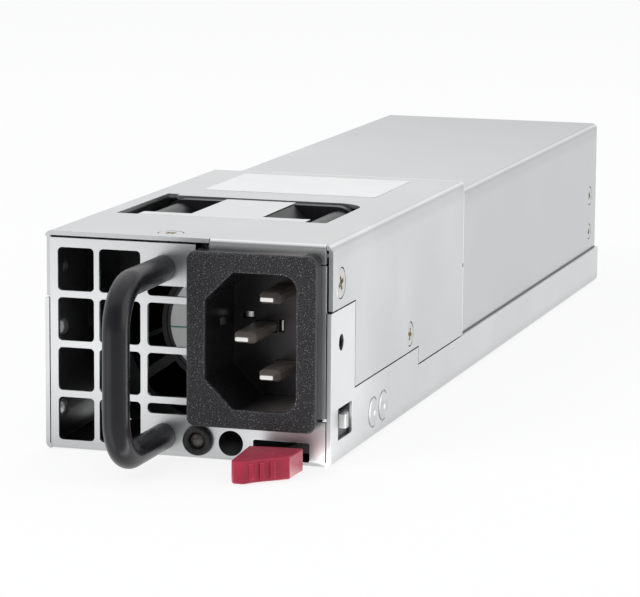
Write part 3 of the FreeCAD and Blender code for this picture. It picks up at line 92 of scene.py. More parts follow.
# What gloss shows of the room and floor: dim up to start and white from end on, along Y.
# The room goes by direction, from -1 to 1, and the floor by place, in metres.
ROOM_GRADE = {"start": -0.75, "end": 0.15, "dim": 0.35}
FLOOR_GRADE = {"start": -0.42, "end": -0.12, "dim": 0.46}

# Bright wedges of floor that run out from the handle and show only in reflections,
# with their angles in degrees.
HANDLE_GLOWS = (
    {"direction": -134, "spread": 20, "brightness": 1.1},
    {"direction": 32, "spread": 7, "brightness": 3.6},
)

# Places of the colours among the Mix node's sockets.
MIX_A, MIX_B, MIX_RESULT = 6, 7, 2

# Turned shapes: (radius, height) corners in millimetres, with the heights measured outward
# from the front plate for the indicator and from the wall for a stud.
HOLDER_PROFILE = (
    (1.75, -5.5), (2.2, -5.5), (2.2, -0.9), (2.78, -0.02), (2.78, 0.5),
    (2.55, 1.35), (2.35, 1.5), (1.95, 1.5), (1.55, 1.1), (1.5, 0.2),
)
LENS_PROFILE = (
    (1.0, -5.9), (1.45, -5.9), (1.45, 0.1), (1.36, 0.45), (1.0, 0.74), (0.5, 0.9), (0.1, 0.93),
)
STUD_PROFILE = ((1.6, -0.1), (1.56, 0.3), (1.38, 0.72), (1.04, 1.05), (0.6, 1.26), (0.15, 1.33))
STUD_PLACES = ((3.6, 22.0), (3.6, 7.0))  # behind the tray's front and above its foot

ROUND_SIDES = 48
STUD_SIDES = 32
RECESS = 1  # which of a screw head's finishes its recess has


# ------------------------------------------------------------ shader nodes


class Nodes:
    """A shader node tree, with short ways to add to it."""

    def __init__(self, tree):
        self.tree = tree

    def node(self, kind, **settings):
        """A new node with these settings."""
        made = self.tree.nodes.new("ShaderNode" + kind)
        for name, value in settings.items():
            setattr(made, name, value)
        return made

    def feed(self, socket, value):
        """Gives an input a number, a vector, a colour or another node's output."""
        if isinstance(value, bpy.types.NodeSocket):
            self.tree.links.new(value, socket)
        elif socket.type == "RGBA":
            socket.default_value = (*value, 1.0)
        else:
            socket.default_value = value

    def maths(self, operation, *values):
        """One sum; each value is a number or a socket."""
        made = self.node("Math", operation=operation)
        for socket, value in zip(made.inputs, values):
            self.feed(socket, value)
        return made.outputs[0]

    def vectors(self, operation, *values, result="Vector"):
        """One sum of vectors or sockets; result says which output it gives."""
        made = self.node("VectorMath", operation=operation)
        for socket, value in zip(made.inputs, values):
            self.feed(socket, value)
        return made.outputs[result]

    def part(self, vector, axis):
        """How far a vector goes along X, Y or Z."""
        parts = self.node("SeparateXYZ")
        self.feed(parts.inputs[0], vector)
        return parts.outputs[axis]

    def both(self, a, b):
        """1 where both of these are 1."""
        return self.maths("MULTIPLY", a, b)

    def between(self, value, low, high, start=0.3, end=0.7):
        """From low to high as value goes from start to end, and level beyond them."""
        made = self.node("MapRange")
        self.feed(made.inputs["Value"], value)
        self.feed(made.inputs["From Min"], start)
        self.feed(made.inputs["From Max"], end)
        self.feed(made.inputs["To Min"], low)
        self.feed(made.inputs["To Max"], high)
        return made.outputs["Result"]


# ---------------------------------------------------------------- finishes


class Finish(Nodes):
    """One procedural finish: a Principled shader and the textures that drive it."""

    def __init__(self, name, colour, roughness, metallic=0.0):
        self.material = bpy.data.materials.new(name)
        self.material.use_nodes = True
        super().__init__(self.material.node_tree)
        self.shader = self.tree.nodes["Principled BSDF"]
        self.colour = colour
        self.put("Base Color", colour)
        self.put("Roughness", roughness)
        self.put("Metallic", metallic)
        self.place = self.node("TexCoord").outputs["Object"]
        self.normal = None

    def put(self, name, value):
        """Gives one of the shader's inputs a number, a colour or a socket."""
        self.feed(self.shader.inputs[name], value)

    def noise(self, size, detail=2.0, along=(1, 1, 1)):
        """Noise in blobs of about this many millimetres, divided by a factor for each axis."""
        mapping = self.node("Mapping")
        self.feed(mapping.inputs["Vector"], self.place)
        self.feed(mapping.inputs["Scale"], along)
        made = self.node("TexNoise")
        self.feed(made.inputs["Vector"], mapping.outputs["Vector"])
        self.feed(made.inputs["Scale"], 1 / (size * MM))
        self.feed(made.inputs["Detail"], detail)
        return made.outputs["Fac"]

    def specks(self, spacing, size):
        """1 in scattered dots this many millimetres across, one for each cell of the spacing."""
        made = self.node("TexVoronoi")
        self.feed(made.inputs["Scale"], 1 / (spacing * MM))
        self.feed(made.inputs["Vector"], self.place)
        reach = size / spacing / 2
        return self.between(made.outputs["Distance"], 1, 0, reach * 0.6, reach * 1.2)

    def along(self, axis):
        """How far along X, Y or Z each point is, in metres."""
        return self.part(self.place, axis)

    def ramp(self, axis, start, end, low=0, high=1):
        """From low to high between these two places along an axis."""
        return self.between(self.along(axis), low, high, start, end)

    def line(self, axis, at, half_width, softness=0.3):
        """1 within half_width millimetres of this place along an axis, and 0 elsewhere."""
        gap = self.maths("ABSOLUTE", self.maths("SUBTRACT", self.along(axis), at))
        inner, outer = half_width * MM * (1 - softness), half_width * MM * (1 + softness)
        return self.between(gap, 1, 0, inner, outer)

    def facing(self, axis, start=0.6, end=0.95):
        """1 on faces turned to X, Y or Z or away from it, and 0 on those that lie along it."""
        turned = self.part(self.node("NewGeometry").outputs["Normal"], axis)
        return self.between(self.maths("ABSOLUTE", turned), 0, 1, start, end)

    def rounded(self, width, samples):
        """The normals of edges that are rounded over this many millimetres."""
        made = self.node("Bevel", samples=samples)
        self.feed(made.inputs["Radius"], width * MM)
        return made.outputs["Normal"]

    def edges(self, width):
        """1 on edges sharper than this many millimetres, fading to 0 on the flat."""
        plain = self.node("NewGeometry").outputs["Normal"]
        alike = self.vectors("DOT_PRODUCT", self.rounded(width, 6), plain, result="Value")
        sharp, flat = 0.80, 0.985
        return self.between(alike, 1, 0, sharp, flat)

    def mixed(self, amount, a, b):
        """Colour a where amount is 0 and b where it is 1; each is a colour or a socket."""
        made = self.node("Mix", data_type="RGBA")
        self.feed(made.inputs["Factor"], amount)
        self.feed(made.inputs[MIX_A], a)
        self.feed(made.inputs[MIX_B], b)
        return made.outputs[MIX_RESULT]

    def tint(self, value, low, high, start=0.3, end=0.7):
        """Base colour from low to high times the finish's own colour."""
        dark = [min(1.0, c * low) for c in self.colour]
        light = [min(1.0, c * high) for c in self.colour]
        self.put("Base Color", self.mixed(self.between(value, 0, 1, start, end), dark, light))

    def shade(self, amount, factor):
        """Multiplies the base colour by factor where amount is 1."""
        base = self.shader.inputs["Base Color"]
        made = self.node("VectorMath", operation="SCALE")
        self.feed(made.inputs[0], base.links[0].from_socket if base.links else self.colour)
        self.feed(made.inputs["Scale"], self.between(amount, 1, factor, 0, 1))
        self.feed(base, made.outputs[0])

    def rough(self, value, low, high, start=0.3, end=0.7):
        """Roughness from low to high as value goes from start to end."""
        self.put("Roughness", self.between(value, low, high, start, end))

    def bump(self, value, depth):
        """Raises the surface by up to this many millimetres where value is 1."""
        made = self.node("Bump")
        self.feed(made.inputs["Distance"], depth * MM)
        self.feed(made.inputs["Height"], value)
        if self.normal:
            self.feed(made.inputs["Normal"], self.normal)
        self.light_by(made.outputs["Normal"])

    def worn_edges(self, width):
        """Rounds the look of the edges over this many millimetres."""
        self.light_by(self.rounded(width, 4))

    def light_by(self, normal):
        """Lights the surface by these normals, on which the next bump builds."""
        self.normal = normal
        self.put("Normal", normal)


def sheet_metal(name, colour, roughness):
    """Rolled and plated sheet: faint streaks along the roll, with cloudy patches."""
    f = Finish(name, colour, roughness, metallic=1.0)
    f.worn_edges(0.10)
    streaks = f.noise(1.4, detail=4, along=(1, 0.08, 1))
    clouds = f.noise(16, detail=3)
    f.tint(clouds, 0.94, 1.045)
    f.rough(clouds, roughness * 0.85, roughness * 1.15)
    f.bump(streaks, 0.004)
    f.bump(f.noise(0.35, detail=2), 0.0015)
    return f


def bare_edges_and_highlight(f):
    """Brighter along the sharp edges of a plated sheet: bare sheared metal and a painted highlight.
    """
    f.shade(f.edges(0.22), 1.28)


def folded_top(f, node):
    """A painted highlight along each fold of a cover's top, and two bands of painted shade below
    it.
    """
    low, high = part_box(node)
    middle = (low.x + high.x) / 2
    out = f.maths("ABSOLUTE", f.maths("SUBTRACT", f.along("X"), middle))
    reach = f.maths("ADD", out, f.along("Z"))
    corner = (high.x - low.x) / 2 + high.z
    fold = FOLD * MM
    # painted highlight along the fold
    f.shade(f.between(reach, 0, 1, corner - 0.66 * fold, corner - 0.60 * fold), 1.30)
    # painted shade in two bands on the side walls below the fold
    wall = f.facing("X")
    for below, half_width, factor in ((0.85, 0.42, 0.86), (2.1, 1.1, 0.93)):
        shade_band = f.line("Z", high.z - below * MM, half_width, softness=0.7)
        f.shade(f.both(wall, shade_band), factor)


def front_cover_plate():
    """The front cover, with a painted highlight and shadow at its rear end and one dark dot there.
    """
    f = sheet_metal("front_cover_plate", (0.60, 0.615, 0.62), 0.36)
    folded_top(f, "front_cover")
    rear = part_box("front_cover")[1].y
    dark_dot_height = 22.9 * MM
    f.shade(f.line("Y", rear - 0.22 * MM, 0.22), 1.40)  # painted highlight along the rear end
    f.shade(f.line("Y", rear - 0.60 * MM, 0.15), 0.84)  # and a painted shadow line beside it
    # a dark dot on the rear end
    dark_dot = f.both(f.line("Y", rear - 0.3 * MM, 0.45), f.line("Z", dark_dot_height, 0.40))
    f.shade(dark_dot, 0.25)
    # painted shade on the faces turned along Y, such as the front lip
    f.shade(f.facing("Y", 0.3, 0.9), 0.90)
    bare_edges_and_highlight(f)
    return f


def rear_cover_plate():
    """The rear cover, with painted shade towards the right and the rear and along its seams."""
    f = sheet_metal("rear_cover_plate", (0.585, 0.60, 0.61), 0.36)
    folded_top(f, "rear_cover")
    low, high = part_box("rear_cover")
    # painted shade: darker towards the right, and on the top towards the rear
    f.shade(f.ramp("X", low.x, high.x), 0.94)
    f.shade(f.both(f.facing("Z"), f.ramp("Y", low.y + 40 * MM, high.y)), 0.83)
    seam_shadow_offset = 0.12 * MM  # from the other sheet to the middle of the painted shadow beside it
    f.shade(f.line("Y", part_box("front_cover")[1].y + seam_shadow_offset, 0.14), 0.62)
    f.shade(f.line("Z", flange_top() + seam_shadow_offset, 0.26), 0.38)
    bare_edges_and_highlight(f)
    return f


def flange_top():
    """The height of the tray's side flange near the rear end."""
    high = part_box("chassis_tray")[1]
    corners = [v.co for v in frame["nodes"]["chassis_tray"].data.vertices]
    side, rear = high.x - 0.05 * MM, high.y - 5 * MM
    return max(c.z for c in corners if c.x > side and c.y > rear)


def tray_plate():
    """The tray, with painted light on its front and side tabs and painted shade inside and low
    down.
    """
    f = sheet_metal("tray_plate", (0.63, 0.64, 0.645), 0.34)
    low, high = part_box("chassis_tray")
    # painted light on the fronts of the side walls
    front = f.ramp("Y", low.y + 12 * MM, low.y + 32 * MM, 1, 0)
    f.shade(f.both(f.facing("X"), front), 1.20)
    # painted light on the faces turned along Y, such as the front plate
    f.shade(f.facing("Y"), 1.02)
    # painted shade on the faces inside the tray
    f.shade(inner_faces(f, low, high), 0.32)
    # painted shade along the foot, darker towards the bottom
    f.shade(f.ramp("Z", low.z + 0.3 * MM, low.z + 2.6 * MM, 1, 0), 0.84)
    bare_edges_and_highlight(f)
    return f


def inner_faces(f, low, high):
    """1 on the faces inside this box of sheet and 0 on its outside."""
    depth = 0.6 * SHEET * MM
    spans = (
        ("X", low.x + depth, high.x - depth),
        ("Y", low.y + depth, high.y),
        ("Z", low.z + depth, high.z),
    )
    inner = 1
    for axis, start, end in spans:
        place = f.along(axis)
        past = f.both(f.maths("GREATER_THAN", place, start), f.maths("LESS_THAN", place, end))
        inner = f.both(inner, past)
    return inner


def plain_metal(name, colour, roughness, grain=0.4):
    """Turned, drawn or pressed metal with a fine even grain, in millimetres."""
    f = Finish(name, colour, roughness, metallic=1.0)
    speckle = f.noise(grain, detail=3)
    f.tint(f.noise(grain * 6), 0.88, 1.06)
    f.rough(speckle, roughness * 0.8, roughness * 1.25)
    f.bump(speckle, 0.003)
    return f


def plastic(name, colour, roughness, grain, depth, speckle):
    """Moulded plastic with a grain and depth in millimetres, paler by speckle on its tops."""
    f = Finish(name, colour, roughness)
    f.put("Specular IOR Level", 0.30)
    pits = f.noise(grain, detail=4)
    f.tint(pits, 1 - speckle, 1 + speckle * 3)
    f.rough(f.noise(grain * 8), roughness * 0.9, min(1.0, roughness * 1.12))
    f.bump(pits, depth)
    return f


def wire_sleeve(name, colour):
    """Extruded PVC insulation."""
    f = Finish(name, colour, 0.42)
    f.tint(f.noise(3), 0.85, 1.1)
    f.rough(f.noise(0.8), 0.34, 0.52)
    f.bump(f.noise(0.6), 0.01)
    return f


def board_finish(name, colour):
    """Solder resist over the weave of the glass cloth, with tracks under it."""
    f = Finish(name, colour, 0.35)
    tracks = f.node("TexBrick")
    f.feed(tracks.inputs["Vector"], f.place)
    f.feed(tracks.inputs["Scale"], 1 / (9 * MM))
    f.feed(tracks.inputs["Mortar Size"], 0.03)
    for socket, factor in (("Color1", 1.25), ("Color2", 1), ("Mortar", 0.7)):
        f.feed(tracks.inputs[socket], [c * factor for c in colour])
    f.put("Base Color", tracks.outputs["Color"])
    f.bump(f.noise(0.5), 0.006)
    f.put("Coat Weight", 0.4)
    return f


def banded(name, colour, pitch, low, high):
    """Turns of wire or layers of tape, one every pitch millimetres."""
    f = Finish(name, colour, 0.4)
    wave = f.node("TexWave", bands_direction="Z")
    f.feed(wave.inputs["Vector"], f.place)
    f.feed(wave.inputs["Scale"], math.pi / 10 / (pitch * MM))  # a wave is pi / 10 at scale 1
    f.feed(wave.inputs["Distortion"], 0.3)
    f.tint(wave.outputs["Fac"], low, high, 0, 1)
    f.bump(wave.outputs["Fac"], 0.12)
    return f


def paper_label(name, colour):
    """Blank printed film, very slightly wavy."""
    f = Finish(name, colour, 0.45)
    f.tint(f.noise(12), 0.97, 1.01)
    f.rough(f.noise(4), 0.40, 0.52)
    f.bump(f.noise(9, detail=1), 0.03)
    return f


def hub_label():
    """The round film on the fan's hub, with a dark rim and one thin green line across it."""
    low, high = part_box("fan_hub_label")
    middle, radius = (low + high) / 2, (high.x - low.x) / 2
    f = Finish("hub_film", (0.92, 0.93, 0.92), 0.44, metallic=0.2)
    film = f.mixed(f.noise(8), (0.96, 0.97, 0.96), (1.0, 1.0, 1.0))
    film = f.mixed(f.line("Z", middle.z - 0.9 * MM, 0.17), film, (0.22, 0.40, 0.35))
    out = f.vectors("DISTANCE", f.place, middle, result="Value")
    rim = f.maths("GREATER_THAN", out, radius * 0.94)
    f.put("Base Color", f.mixed(rim, film, (0.05, 0.05, 0.055)))
    f.rough(f.noise(3), 0.38, 0.52)
    f.bump(f.noise(6), 0.02)
    return f


def lens_resin():
    """The indicator's smoked lens."""
    f = Finish("lens_resin", (0.075, 0.066, 0.060), 0.24)
    f.put("IOR", 1.5)
    f.put("Coat Weight", 0.25)
    f.tint(f.noise(0.8), 0.6, 1.3)
    f.rough(f.noise(0.5), 0.20, 0.30)
    f.bump(f.noise(0.7), 0.004)
    return f


def button_plastic():
    """Satin maroon plastic of the latch button, with a painted highlight along its edges."""
    f = Finish("button_plastic", (0.36, 0.026, 0.055), 0.42)
    f.put("Specular IOR Level", 0.18)
    f.put("Coat Weight", 0.14)
    f.put("Coat Roughness", 0.18)
    f.worn_edges(0.25)
    f.tint(f.noise(2.5), 0.9, 1.12)
    # painted highlight along the edges
    f.shade(f.edges(0.35), 1.9)
    f.rough(f.noise(0.9), 0.34, 0.48)
    f.bump(f.noise(0.35), 0.008)
    return f


def bezel_plastic():
    """Black plastic of the socket: spark-eroded and sparkling on its front, smooth behind it."""
    f = Finish("bezel_plastic", (0.019, 0.018, 0.020), 0.5)
    f.put("Specular IOR Level", 0.30)
    f.worn_edges(0.3)
    low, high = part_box("ac_inlet_housing")
    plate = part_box("chassis_tray")[0].y
    grain = f.noise(0.20, detail=5)
    behind = f.ramp("Y", plate - 3.4 * MM, plate - 3.0 * MM)
    front = f.maths("SUBTRACT", 1, behind)
    hollow = f.both(behind, f.maths("LESS_THAN", f.along("X"), high.x - 2.5 * MM))
    # painted light: the hollow is lighter towards its right wall
    lit = f.ramp("X", (low.x + high.x) / 2 - 2 * MM, high.x - 4 * MM)
    smooth = f.mixed(f.both(hollow, lit), (0.011, 0.0105, 0.012), (0.17, 0.15, 0.148))
    spark = f.both(f.between(grain, 0, 1, 0.50, 0.78), front)
    dull = f.mixed(spark, smooth, (0.13, 0.13, 0.135))
    dots = f.both(f.specks(0.40, 0.15), front)
    f.put("Base Color", f.mixed(dots, dull, (0.20, 0.20, 0.21)))
    # painted highlight along the edges of the front
    f.shade(f.both(f.edges(0.7), front), 3.4)
    f.rough(behind, 0.52, 0.24, 0, 1)
    f.bump(f.both(grain, front), 0.022)
    return f


def handle_coat():
    """Smooth black powder coat with a soft sheen."""
    f = Finish("handle_coat", (0.0060, 0.0060, 0.0085), 0.26)
    f.put("Specular IOR Level", 0.34)
    f.tint(f.noise(5), 0.85, 1.2)
    f.rough(f.noise(6), 0.25, 0.29)
    f.bump(f.noise(5, detail=1), 0.003)
    return f


def pin_metal():
    """Plated blades with pale ends and dark sides, partly real metal and partly painted light and
    shade.
    """
    f = Finish("pin_nickel", (0.93, 0.92, 0.89), 0.34, metallic=0.6)
    # painted light on the ends turned along Y and painted shade on the sides
    sides = f.mixed(f.noise(3), (0.40, 0.35, 0.31), (0.56, 0.50, 0.45))
    f.put("Base Color", f.mixed(f.facing("Y", 0.75, 0.97), sides, (0.96, 0.95, 0.92)))
    f.rough(f.noise(1.5), 0.30, 0.38)
    return f


def thread_compound():
    """Dried ochre locking compound in a screw's recess, over painted shade in the recess."""
    f = Finish("thread_compound", (0.30, 0.24, 0.12), 0.6)
    recess_shade, ochre, dried = (0.035, 0.028, 0.018), (0.40, 0.31, 0.14), (0.52, 0.51, 0.47)
    patches = f.noise(0.45, detail=3)
    coated = f.mixed(f.between(f.noise(0.9), 0, 1), recess_shade, ochre)
    f.put("Base Color", f.mixed(f.between(patches, 0, 1, 0.5, 0.62), coated, dried))
    f.bump(patches, 0.05)
    return f


def finishes():
    """Every finish, by the name of its slot in the record; leaf_steel is the scene's own.

    Each starts with a name and a colour. A metal or plastic has a roughness next, a plastic
    then its grain, depth and speckle, and a banded one its pitch and the shades between its
    turns and on them.
    """
    return {
        "zinc_steel": sheet_metal("zinc_plate", (0.585, 0.60, 0.61), 0.36),
        "clip_steel": sheet_metal("clip_plate", (0.66, 0.67, 0.68), 0.24),
        "spring_steel": sheet_metal("spring_plate", (0.46, 0.47, 0.49), 0.34),
        "screw_steel": plain_metal("screw_plate", (0.60, 0.60, 0.585), 0.32),
        "rivet_steel": plain_metal("rivet_plate", (0.62, 0.63, 0.64), 0.40),
        "tooth_steel": plain_metal("tooth_plate", (0.56, 0.56, 0.56), 0.36),
        "brass_nickel": plain_metal("standoff_nickel", (0.66, 0.61, 0.47), 0.30),
        "plated_pin": pin_metal(),
        "gold_contact": plain_metal("contact_gold", (0.83, 0.62, 0.22), 0.22, grain=0.3),
        "heatsink_aluminium": sheet_metal("fin_aluminium", (0.66, 0.67, 0.69), 0.34),
        "capacitor_can": plain_metal("can_aluminium", (0.68, 0.69, 0.71), 0.30),
        "black_coated_steel": handle_coat(),
        "textured_black_plastic": bezel_plastic(),
        "black_plastic": plastic("black_plastic", (0.022, 0.022, 0.023), 0.48, 0.4, 0.01, 0.2),
        "fan_black": plastic("fan_plastic", (0.009, 0.009, 0.011), 0.34, 0.8, 0.004, 0.15),
        "rotor_black": plastic("rotor_plastic", (0.010, 0.010, 0.012), 0.30, 0.8, 0.006, 0.15),
        "chip_black": plastic("chip_resin", (0.025, 0.025, 0.026), 0.55, 0.3, 0.01, 0.2),
        "black_film": plastic("film", (0.030, 0.030, 0.030), 0.45, 2.0, 0.02, 0.1),
        "maroon_plastic": button_plastic(),
        "yellow_case": plastic("case_yellow", (0.70, 0.48, 0.04), 0.38, 0.7, 0.008, 0.05),
        "relay_case": plastic("case_blue", (0.03, 0.07, 0.20), 0.36, 0.7, 0.008, 0.08),
        "fuse_ceramic": plastic("ceramic", (0.80, 0.77, 0.69), 0.26, 1.5, 0.004, 0.02),
        "ferrite": plastic("ferrite", (0.055, 0.055, 0.060), 0.62, 0.35, 0.02, 0.3),
        "capacitor_sleeve": plastic("sleeve", (0.035, 0.035, 0.080), 0.30, 2.5, 0.01, 0.1),
        "red_wire": wire_sleeve("sleeve_red", (0.32, 0.015, 0.020)),
        "black_wire": wire_sleeve("sleeve_black", (0.022, 0.022, 0.022)),
        "brown_wire": wire_sleeve("sleeve_brown", (0.16, 0.065, 0.03)),
        "blue_wire": wire_sleeve("sleeve_blue", (0.03, 0.08, 0.38)),
        "green_wire": wire_sleeve("sleeve_green", (0.05, 0.28, 0.07)),
        "board_green": board_finish("solder_resist", (0.015, 0.15, 0.06)),
        "copper_winding": banded("enamelled_wire", (0.50, 0.19, 0.06), 0.9, 0.5, 1.25),
        "transformer_tape": banded("film_tape", (0.72, 0.52, 0.05), 2.5, 0.85, 1.08),
        "grey_label": hub_label(),
        "white_label": paper_label("blank_film", (0.80, 0.80, 0.795)),
        "led_resin": lens_resin(),
        "leaf_steel": plain_metal("leaf_plate", (0.92, 0.92, 0.90), 0.35),
    }


def dress_nodes(made):
    """Gives every CAD node the finish of its slot in the record, or one of its own."""
    own = {
        "front_cover": front_cover_plate(),
        "rear_cover": rear_cover_plate(),
        "chassis_tray": tray_plate(),
        # painted shade: the arm, which sits inside the case, is made dark
        "latch_arm": sheet_metal("shaded_arm_plate", (0.10, 0.10, 0.105), 0.42),
    }
    for part in frame["record"]["subparts"]:
        slots = frame["nodes"][part["node"]].data.materials
        finish = own.get(part["node"], made[part["material_slot"]]).material
        if not slots:
            slots.append(finish)
        for n in range(len(slots)):
            slots[n] = finish


# ---------------------------------------------------------- small fittings


def add_piece(name, shape, worn, body):
    """Makes an object of a bmesh, gives it these finishes and lets it ride on a CAD body."""
    mesh = bpy.data.meshes.new(name)
    bmesh.ops.recalc_face_normals(shape, faces=shape.faces)
    shape.to_mesh(mesh)
    shape.free()
    for finish in worn:
        mesh.materials.append(finish.material)
    piece = bpy.data.objects.new(name, mesh)
    bpy.context.scene.collection.objects.link(piece)
    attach(piece, body)
    return piece


def merge(whole, shape):
    """Adds one bmesh to another and frees it."""
    spare = bpy.data.meshes.new("spare")
    shape.to_mesh(spare)
    shape.free()
    whole.from_mesh(spare)
    bpy.data.meshes.remove(spare)


def move(shape, matrix):
    """Moves and turns a whole bmesh."""
    bmesh.ops.transform(shape, matrix=matrix, verts=shape.verts)


def ring(shape, radius, height, sides):
    """New corners round Z."""
    turns = [2 * math.pi * n / sides for n in range(sides)]
    return [shape.verts.new((radius * math.cos(t), radius * math.sin(t), height)) for t in turns]


def band(shape, below, above, material=0, smooth=True):
    """Faces between two rings of as many corners."""
    for n in range(len(below)):
        m = (n + 1) % len(below)
        face = shape.faces.new((below[n], below[m], above[m], above[n]))
        face.material_index, face.smooth = material, smooth


def turned(profile, sides=ROUND_SIDES, hollow=False):
    """A body of revolution round Z; a hollow one has a profile that closes on itself."""
    shape = bmesh.new()
    rings = [ring(shape, radius * MM, height * MM, sides) for radius, height in profile]
    for below, above in zip(rings, rings[1:]):
        band(shape, below, above)
    if hollow:
        band(shape, rings[-1], rings[0])
    else:
        shape.faces.new(rings[0])
        shape.faces.new(rings[-1])
    return shape


def islands(node):
    """The corners (lowest, highest) of each separate solid in a CAD node, from left to right."""
    shape = bmesh.new()
    shape.from_mesh(frame["nodes"][node].data)
    bmesh.ops.remove_doubles(shape, verts=shape.verts, dist=0.001 * MM)
    waiting, found = set(shape.verts), []
    while waiting:
        reached = [waiting.pop()]
        for vert in reached:
            for edge in vert.link_edges:
                other = edge.other_vert(vert)
                if other in waiting:
                    waiting.remove(other)
                    reached.append(other)
        spans = [(min(v.co[i] for v in reached), max(v.co[i] for v in reached)) for i in range(3)]
        found.append((Vector([a for a, b in spans]), Vector([b for a, b in spans])))
    shape.free()
    return sorted(found, key=lambda box: (*box[0], *box[1]))


def cross_corners(shape, reach, half, height):
    """New corners of a cross with arms of this reach and half width."""
    corners = []
    for n in range(4):
        quarter = Matrix.Rotation(n * math.pi / 2, 2)
        for corner in ((reach, -half), (reach, half), (half, half)):
            corners.append(shape.verts.new((*(quarter @ Vector(corner)), height)))
    return corners


def cross_head(radius):
    """A flush countersunk head, face up at height 0, with a cross recess and a short shank."""
    shape = bmesh.new()
    rim, neck, end, recess = 0.16 * MM, 0.6 * MM, 0.78 * MM, 0.55 * MM  # down from the face
    face = ring(shape, radius - rim, 0, ROUND_SIDES)
    outer = face
    for size, height in ((radius, -rim), (radius * 0.6, -neck), (radius * 0.5, -end)):
        lower = ring(shape, size, height, ROUND_SIDES)
        band(shape, lower, outer)
        outer = lower
    shape.faces.new(outer)
    mouth = cross_corners(shape, radius * 0.50, radius * 0.15, 0)
    foot = cross_corners(shape, radius * 0.34, radius * 0.10, -recess)
    band(shape, foot, mouth, material=RECESS, smooth=False)
    shape.faces.new(foot).material_index = RECESS
    rims = [
        shape.edges.get(pair) for loop in (face, mouth) for pair in zip(loop, loop[1:] + loop[:1])
    ]
    bmesh.ops.triangle_fill(shape, edges=rims, use_beauty=True)
    return shape


def screws(name, node, made):
    """Cross-recessed heads in place of a node's plain ones, each turned a radian further."""
    whole = bmesh.new()
    middle = sum(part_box("chassis_tray"), Vector()) / 2
    first_turn = 0.5
    for count, (low, high) in enumerate(islands(node)):
        size, centre = high - low, (low + high) / 2
        diameter = sorted(size)[1]
        axis = max(range(3), key=lambda i: abs(size[i] - diameter))
        outward = Vector([0, 0, 0])
        outward[axis] = 1 if centre[axis] > middle[axis] else -1
        face = centre + outward * size[axis] / 2
        spin = Matrix.Rotation(first_turn + count, 3, "Z")
        aimed = outward.to_track_quat("Z", "Y").to_matrix() @ spin
        head = cross_head(diameter / 2)
        move(head, Matrix.Translation(face) @ aimed.to_4x4())
        merge(whole, head)
    piece = add_piece(name, whole, (made["screw_steel"], thread_compound()), "case")
    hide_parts(node)


def indicator(made):
    """The raised holder of the indicator and the smoked lens sunk in it."""
    low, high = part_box("led_holder")
    centre = (low + high) / 2
    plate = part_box("chassis_tray")[0].y
    place = Matrix.Translation((centre.x, plate, centre.z)) @ Matrix.Rotation(math.pi / 2, 4, "X")
    holder = turned(HOLDER_PROFILE, hollow=True)
    move(holder, place)
    piece = add_piece("indicator_holder", holder, (made["black_plastic"],), "case")
    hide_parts("led_holder")
    lens = turned(LENS_PROFILE)
    move(lens, place)
    piece = add_piece("indicator_lens", lens, (made["led_resin"],), "case")
    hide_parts("status_led")


def leaf(centre, width, height, facing):
    """A bowed spring leaf of thin sheet, facing one way."""
    bow, thickness = 0.22 * MM, 0.15 * MM
    shape = bmesh.new()
    bmesh.ops.create_grid(shape, x_segments=8, y_segments=4, size=0.5)
    for vert in shape.verts:
        x, y = vert.co.x, vert.co.y
        vert.co = Vector((x * width, y * height, bow * (1 - 4 * x * x)))
    everything = shape.verts[:] + shape.edges[:] + shape.faces[:]
    bmesh.ops.solidify(shape, geom=everything, thickness=thickness)
    aimed = facing.to_track_quat("Z", "Y").to_matrix().to_4x4()
    move(shape, Matrix.Translation(centre) @ aimed)
    return shape


def socket_leaves(made):
    """The spring leaves that show in the three small windows of the socket."""
    low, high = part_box("ac_inlet_housing")
    middle = (low + high) / 2
    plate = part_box("chassis_tray")[0].y
    floor, wall = high.y - 3.0 * MM, middle.x - 8.5 * MM  # the hollow's floor and left wall
    floor_sunk, wall_sunk = 0.75 * MM, 0.45 * MM  # how far the leaves are sunk in them
    forward, inward = Vector((0, -1, 0)), Vector((1, -0.5, 0.1))
    leaves = {  # place, width and height in millimetres, and the way it faces
        "left": (middle.x - 5.8 * MM, floor + floor_sunk, middle.z + 2.0 * MM, 1.9, 1.0, forward),
        "right": (middle.x + 0.5 * MM, floor + floor_sunk, middle.z + 0.25 * MM, 0.8, 1.9, forward),
        "wall": (wall - wall_sunk, plate + 6.3 * MM, middle.z + 1.6 * MM, 2.6, 1.4, inward),
    }
    for name, (*centre, width, height, facing) in leaves.items():
        shape = leaf(Vector(centre), width * MM, height * MM, facing)
        add_piece("socket_leaf_" + name, shape, (made["leaf_steel"],), "case")


def blade_section(shape, centre, y, half_width, half_height):
    """New corners of a pin's section at y, with its four corners cut off."""
    x, z, cut = half_width, half_height, half_height * 0.4
    corners = (
        (x - cut, -z), (x, cut - z), (x, z - cut), (x - cut, z),
        (cut - x, z), (-x, z - cut), (-x, cut - z), (cut - x, -z),
    )
    return [shape.verts.new((centre.x + a, y, centre.z + b)) for a, b in corners]


def blades(made):
    """The three inlet pins, each with a slim blunt end and cut long edges."""
    for name in ("inlet_pin_line", "inlet_pin_neutral", "inlet_pin_earth"):
        low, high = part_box(name)
        centre, half = (low + high) / 2, (high - low) / 2
        sections = (  # place along the pin, and shares of its width and height
            (low.y, 0.60, 0.36),
            (low.y + 0.25 * MM, 0.68, 0.46),
            (low.y + 2.2 * MM, 1, 1),
            (high.y, 1, 1),
        )
        shape = bmesh.new()
        rings = [
            blade_section(shape, centre, y, half.x * wide, half.z * tall)
            for y, wide, tall in sections
        ]
        for near, far in zip(rings, rings[1:]):
            band(shape, near, far, smooth=False)
        shape.faces.new(rings[0])
        shape.faces.new(rings[-1])
        blade = name.replace("inlet_", "") + "_blade"
        piece = add_piece(blade, shape, (made["plated_pin"],), "case")
        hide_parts(name)


